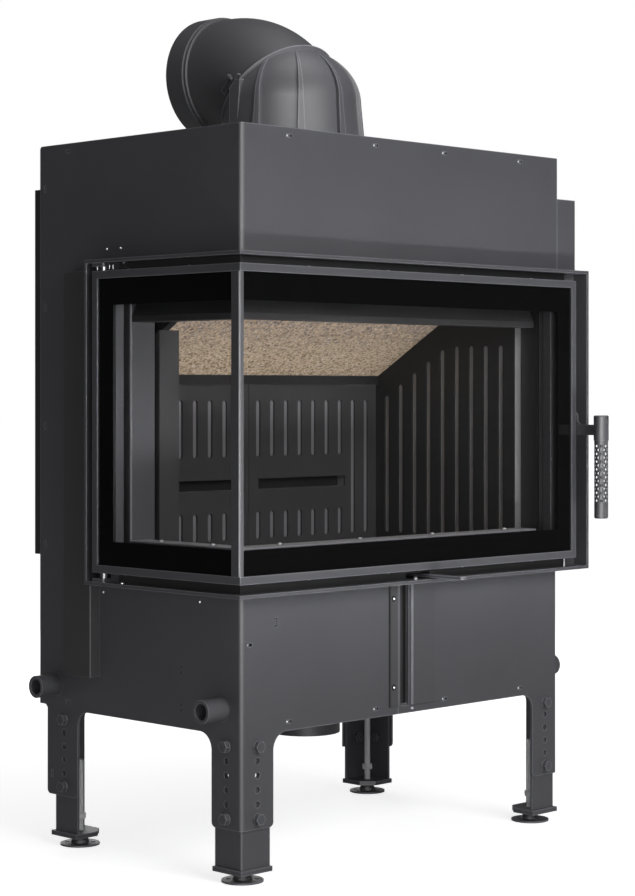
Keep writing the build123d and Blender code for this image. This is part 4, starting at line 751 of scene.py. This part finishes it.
def threaded_rod(name, foot_x, foot_y):
    """Rod with one helical thread along its length and a hexagon nut on it."""
    shape = bmesh.new()
    inner = ROD_RADIUS - THREAD_DEPTH * THREAD_PITCH
    length = ROD_HIGH - ROD_LOW
    steps = int(length / THREAD_PITCH * THREAD_SIDES)
    section = ((inner, 0.0), (ROD_RADIUS, THREAD_CREST[0]), (ROD_RADIUS, THREAD_CREST[1]))
    rows = []
    for k in range(steps + 1):
        angle = 2 * math.pi * k / THREAD_SIDES
        rise = ROD_LOW + THREAD_PITCH * k / THREAD_SIDES
        row = []
        for radius, step in section:
            x, y = foot_x + radius * math.cos(angle), foot_y + radius * math.sin(angle)
            row.append(shape.verts.new(at(x, y, min(ROD_HIGH, rise + step * THREAD_PITCH))))
        rows.append(row)
    for k in range(steps):
        for j in (0, 1):
            shape.faces.new((rows[k][j], rows[k + 1][j], rows[k + 1][j + 1], rows[k][j + 1]))
        above = k + THREAD_SIDES
        if above + 1 <= steps:
            shape.faces.new((rows[k][2], rows[k + 1][2], rows[above + 1][0], rows[above][0]))
    core = ((inner, 0.0), (inner, length), (inner * 0.8, length + 0.8))
    turned(shape, at(foot_x, foot_y, ROD_LOW), TO_TOP, core, THREAD_SIDES)
    corner = NUT_FLATS / math.sqrt(3)
    nut = (
        (corner * 0.9, 0.0), (corner, NUT_CHAMFER),
        (corner, NUT_HIGH - NUT_LOW - NUT_CHAMFER), (corner * 0.9, NUT_HIGH - NUT_LOW),
    )
    turned(shape, at(foot_x, foot_y, NUT_LOW), TO_TOP, nut, 6)
    return finished(shape, name)


for corner_name in ("front_left", "front_right", "rear_left", "rear_right"):
    rod_low, rod_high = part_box("foot_screw_" + corner_name)
    middle = (rod_low + rod_high) / 2
    foot_x, foot_y = middle[0] / MM - LEFT, middle[1] / MM - FRONT
    rod_mesh = threaded_rod("rod_" + corner_name, foot_x, foot_y)
    rod = add_piece("rod_" + corner_name, rod_mesh, bright_zinc, "foot_" + corner_name)
    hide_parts("foot_screw_" + corner_name)

# Grip tube with its staggered rows of holes

GRIP_OUTER, GRIP_INNER = 12.5, 11.0
HOLE_ROWS, HOLES_IN_ROW, HOLE_RADIUS = 15, 8, 2.65
FIRST_ROW, ROW_PITCH = 586.0, 7.0
GRIP_SIDES = 32
CELL_SIDES = GRIP_SIDES // HOLES_IN_ROW
# Turned to the camera's line of sight, so that light shows through; the real turn is unknown
GRIP_TURN = math.radians(37.9)
# Corners of a cell round a hole, anticlockwise: sides of the tube across, half rows up
CELL_BORDER = (
    [(i, -1.0) for i in (-2, -1, 0, 1, 2)] + [(2, -0.5), (2, 0.0), (2, 0.5)]
    + [(i, 1.0) for i in (2, 1, 0, -1, -2)] + [(-2, 0.5), (-2, 0.0), (-2, -0.5)]
)


def perforated_tube(name, z_low, z_high):
    """Tube whose rows of holes are each turned by half a step from the one below."""
    shape = bmesh.new()
    step = 2 * math.pi / GRIP_SIDES
    half = ROW_PITCH / 2
    corners = len(CELL_BORDER)
    made = {}

    def point(radius, angle, z):
        """Vertex there, which its neighbours share."""
        key = (radius, round(angle / step * 1000) % (GRIP_SIDES * 1000), round(z * 1000))
        if key not in made:
            x = grip_x + radius * MM * math.cos(angle + GRIP_TURN)
            y = grip_y + radius * MM * math.sin(angle + GRIP_TURN)
            made[key] = shape.verts.new(Vector((x, y, z * MM)))
        return made[key]

    def band(ends):
        """Ring of faces between two (radius, height) pairs."""
        (radius_a, z_a), (radius_b, z_b) = ends
        for k in range(GRIP_SIDES):
            here, there = k * step, (k + 1) * step
            shape.faces.new((
                point(radius_a, here, z_a), point(radius_a, there, z_a),
                point(radius_b, there, z_b), point(radius_b, here, z_b),
            ))

    holes_low, holes_high = FIRST_ROW - ROW_PITCH / 2, FIRST_ROW + ROW_PITCH * (HOLE_ROWS - 0.5)
    for radius in (GRIP_OUTER, GRIP_INNER):
        band(((radius, z_low), (radius, holes_low)))
        band(((radius, holes_high), (radius, z_high)))
    for level in (z_low, z_high):
        band(((GRIP_OUTER, level), (GRIP_INNER, level)))
    for row in range(HOLE_ROWS):
        middle = FIRST_ROW + ROW_PITCH * row
        for k in range(HOLES_IN_ROW):
            centre = (k * CELL_SIDES + (row % 2) * CELL_SIDES / 2) * step
            rims = []
            for radius in (GRIP_OUTER, GRIP_INNER):
                edge = [point(radius, centre + i * step, middle + up * half) for i, up in CELL_BORDER]
                rim = []
                for n in range(corners):
                    swing = -0.75 * math.pi + 2 * math.pi * n / corners
                    across = HOLE_RADIUS * math.cos(swing) / GRIP_OUTER
                    rim.append(point(radius, centre + across, middle + HOLE_RADIUS * math.sin(swing)))
                rims.append(rim)
                for n in range(corners):
                    m = (n + 1) % corners
                    shape.faces.new((edge[n], edge[m], rim[m], rim[n]))
            for n in range(corners):
                m = (n + 1) % corners
                shape.faces.new((rims[0][n], rims[0][m], rims[1][m], rims[1][n]))
    return finished(shape, name)


grip_mesh = perforated_tube("perforated_grip", grip_low[2] / MM, grip_high[2] / MM)
grip = add_piece("perforated_grip", grip_mesh, grip_coat, "door_handle")
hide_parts("grip_tube")

# Printed glass borders, just outside both panes

PANE_FACE = -31.7
PRINT_GAP, PRINT_THICKNESS = 0.05, 0.15
PRINT_LOW, PRINT_HIGH, VIEW_LOW, VIEW_HIGH = 490.0, 971.0, 533.5, 925.5
FRONT_PRINT_START, FRONT_PRINT_END, FRONT_VIEW_END = -27.6, 785.5, 748.5
SIDE_PRINT_START, SIDE_PRINT_END, SIDE_VIEW_END = -14.0, 315.5, 277.0


def border_mesh(name, place, start, end, view_end):
    """Thin frame, closed at the corner of the two panes; place turns (u, z, depth) into a point."""
    shape = bmesh.new()
    rings = []
    for depth in (0.0, PRINT_THICKNESS):
        for u_high, z_low, z_high in ((end, PRINT_LOW, PRINT_HIGH), (view_end, VIEW_LOW, VIEW_HIGH)):
            rings.append([
                shape.verts.new(place(u, z, depth))
                for u, z in ((start, z_low), (u_high, z_low), (u_high, z_high), (start, z_high))
            ])
    for k in range(4):
        n = (k + 1) % 4
        shape.faces.new((rings[0][k], rings[0][n], rings[1][n], rings[1][k]))
        shape.faces.new((rings[2][k], rings[3][k], rings[3][n], rings[2][n]))
        shape.faces.new((rings[0][k], rings[2][k], rings[2][n], rings[0][n]))
        shape.faces.new((rings[1][k], rings[1][n], rings[3][n], rings[3][k]))
    return finished(shape, name)


print_front = border_mesh(
    "print_front", lambda u, z, depth: at(u, PANE_FACE - PRINT_GAP - depth, z),
    FRONT_PRINT_START, FRONT_PRINT_END, FRONT_VIEW_END,
)
add_piece("print_front", print_front, printed, "door")
print_side = border_mesh(
    "print_side", lambda u, z, depth: at(PANE_FACE - PRINT_GAP - depth, u, z),
    SIDE_PRINT_START, SIDE_PRINT_END, SIDE_VIEW_END,
)
add_piece("print_side", print_side, printed, "door")

# Floor

FLOOR_HALF, FLOOR_LEVEL = 40, -0.0005
FLOOR_COLOUR = (0.8, 0.8, 0.8, 1)
GLOW_NEAR, GLOW_FAR = 0.77, 0.97
GLOW_START, GLOW_END = 1.0, 3.0


def floor_finish():
    """Pale matt floor that keeps shadows and glows towards white for the camera, more so further out."""
    material, tree, shader = new_material("floor_paint")
    shader.inputs["Base Color"].default_value = FLOOR_COLOUR
    shader.inputs["Roughness"].default_value = 1.0
    shader.inputs["Specular IOR Level"].default_value = 0.0
    lit = tree.nodes.new("ShaderNodeEmission")
    lit.inputs["Color"].default_value = WHITE
    away = vector_math(tree, "LENGTH", object_coordinates(tree))
    glow = spread(tree, away, GLOW_NEAR, GLOW_FAR, GLOW_START, GLOW_END)
    tree.links.new(glow, lit.inputs["Strength"])
    both = tree.nodes.new("ShaderNodeAddShader")
    tree.links.new(shader.outputs[0], both.inputs[0])
    tree.links.new(lit.outputs[0], both.inputs[1])
    choice = tree.nodes.new("ShaderNodeMixShader")
    path = tree.nodes.new("ShaderNodeLightPath")
    tree.links.new(path.outputs["Is Camera Ray"], choice.inputs["Fac"])
    tree.links.new(shader.outputs[0], choice.inputs[1])
    tree.links.new(both.outputs[0], choice.inputs[2])
    tree.links.new(choice.outputs[0], tree.nodes["Material Output"].inputs["Surface"])
    return material


floor_mesh = bpy.data.meshes.new("floor")
floor_corners = [
    (x * FLOOR_HALF, y * FLOOR_HALF, FLOOR_LEVEL) for x, y in ((-1, -1), (1, -1), (1, 1), (-1, 1))
]
floor_mesh.from_pydata(floor_corners, [], [(0, 1, 2, 3)])
floor_mesh.materials.append(floor_finish())
floor = bpy.data.objects.new("floor", floor_mesh)
scene.collection.objects.link(floor)
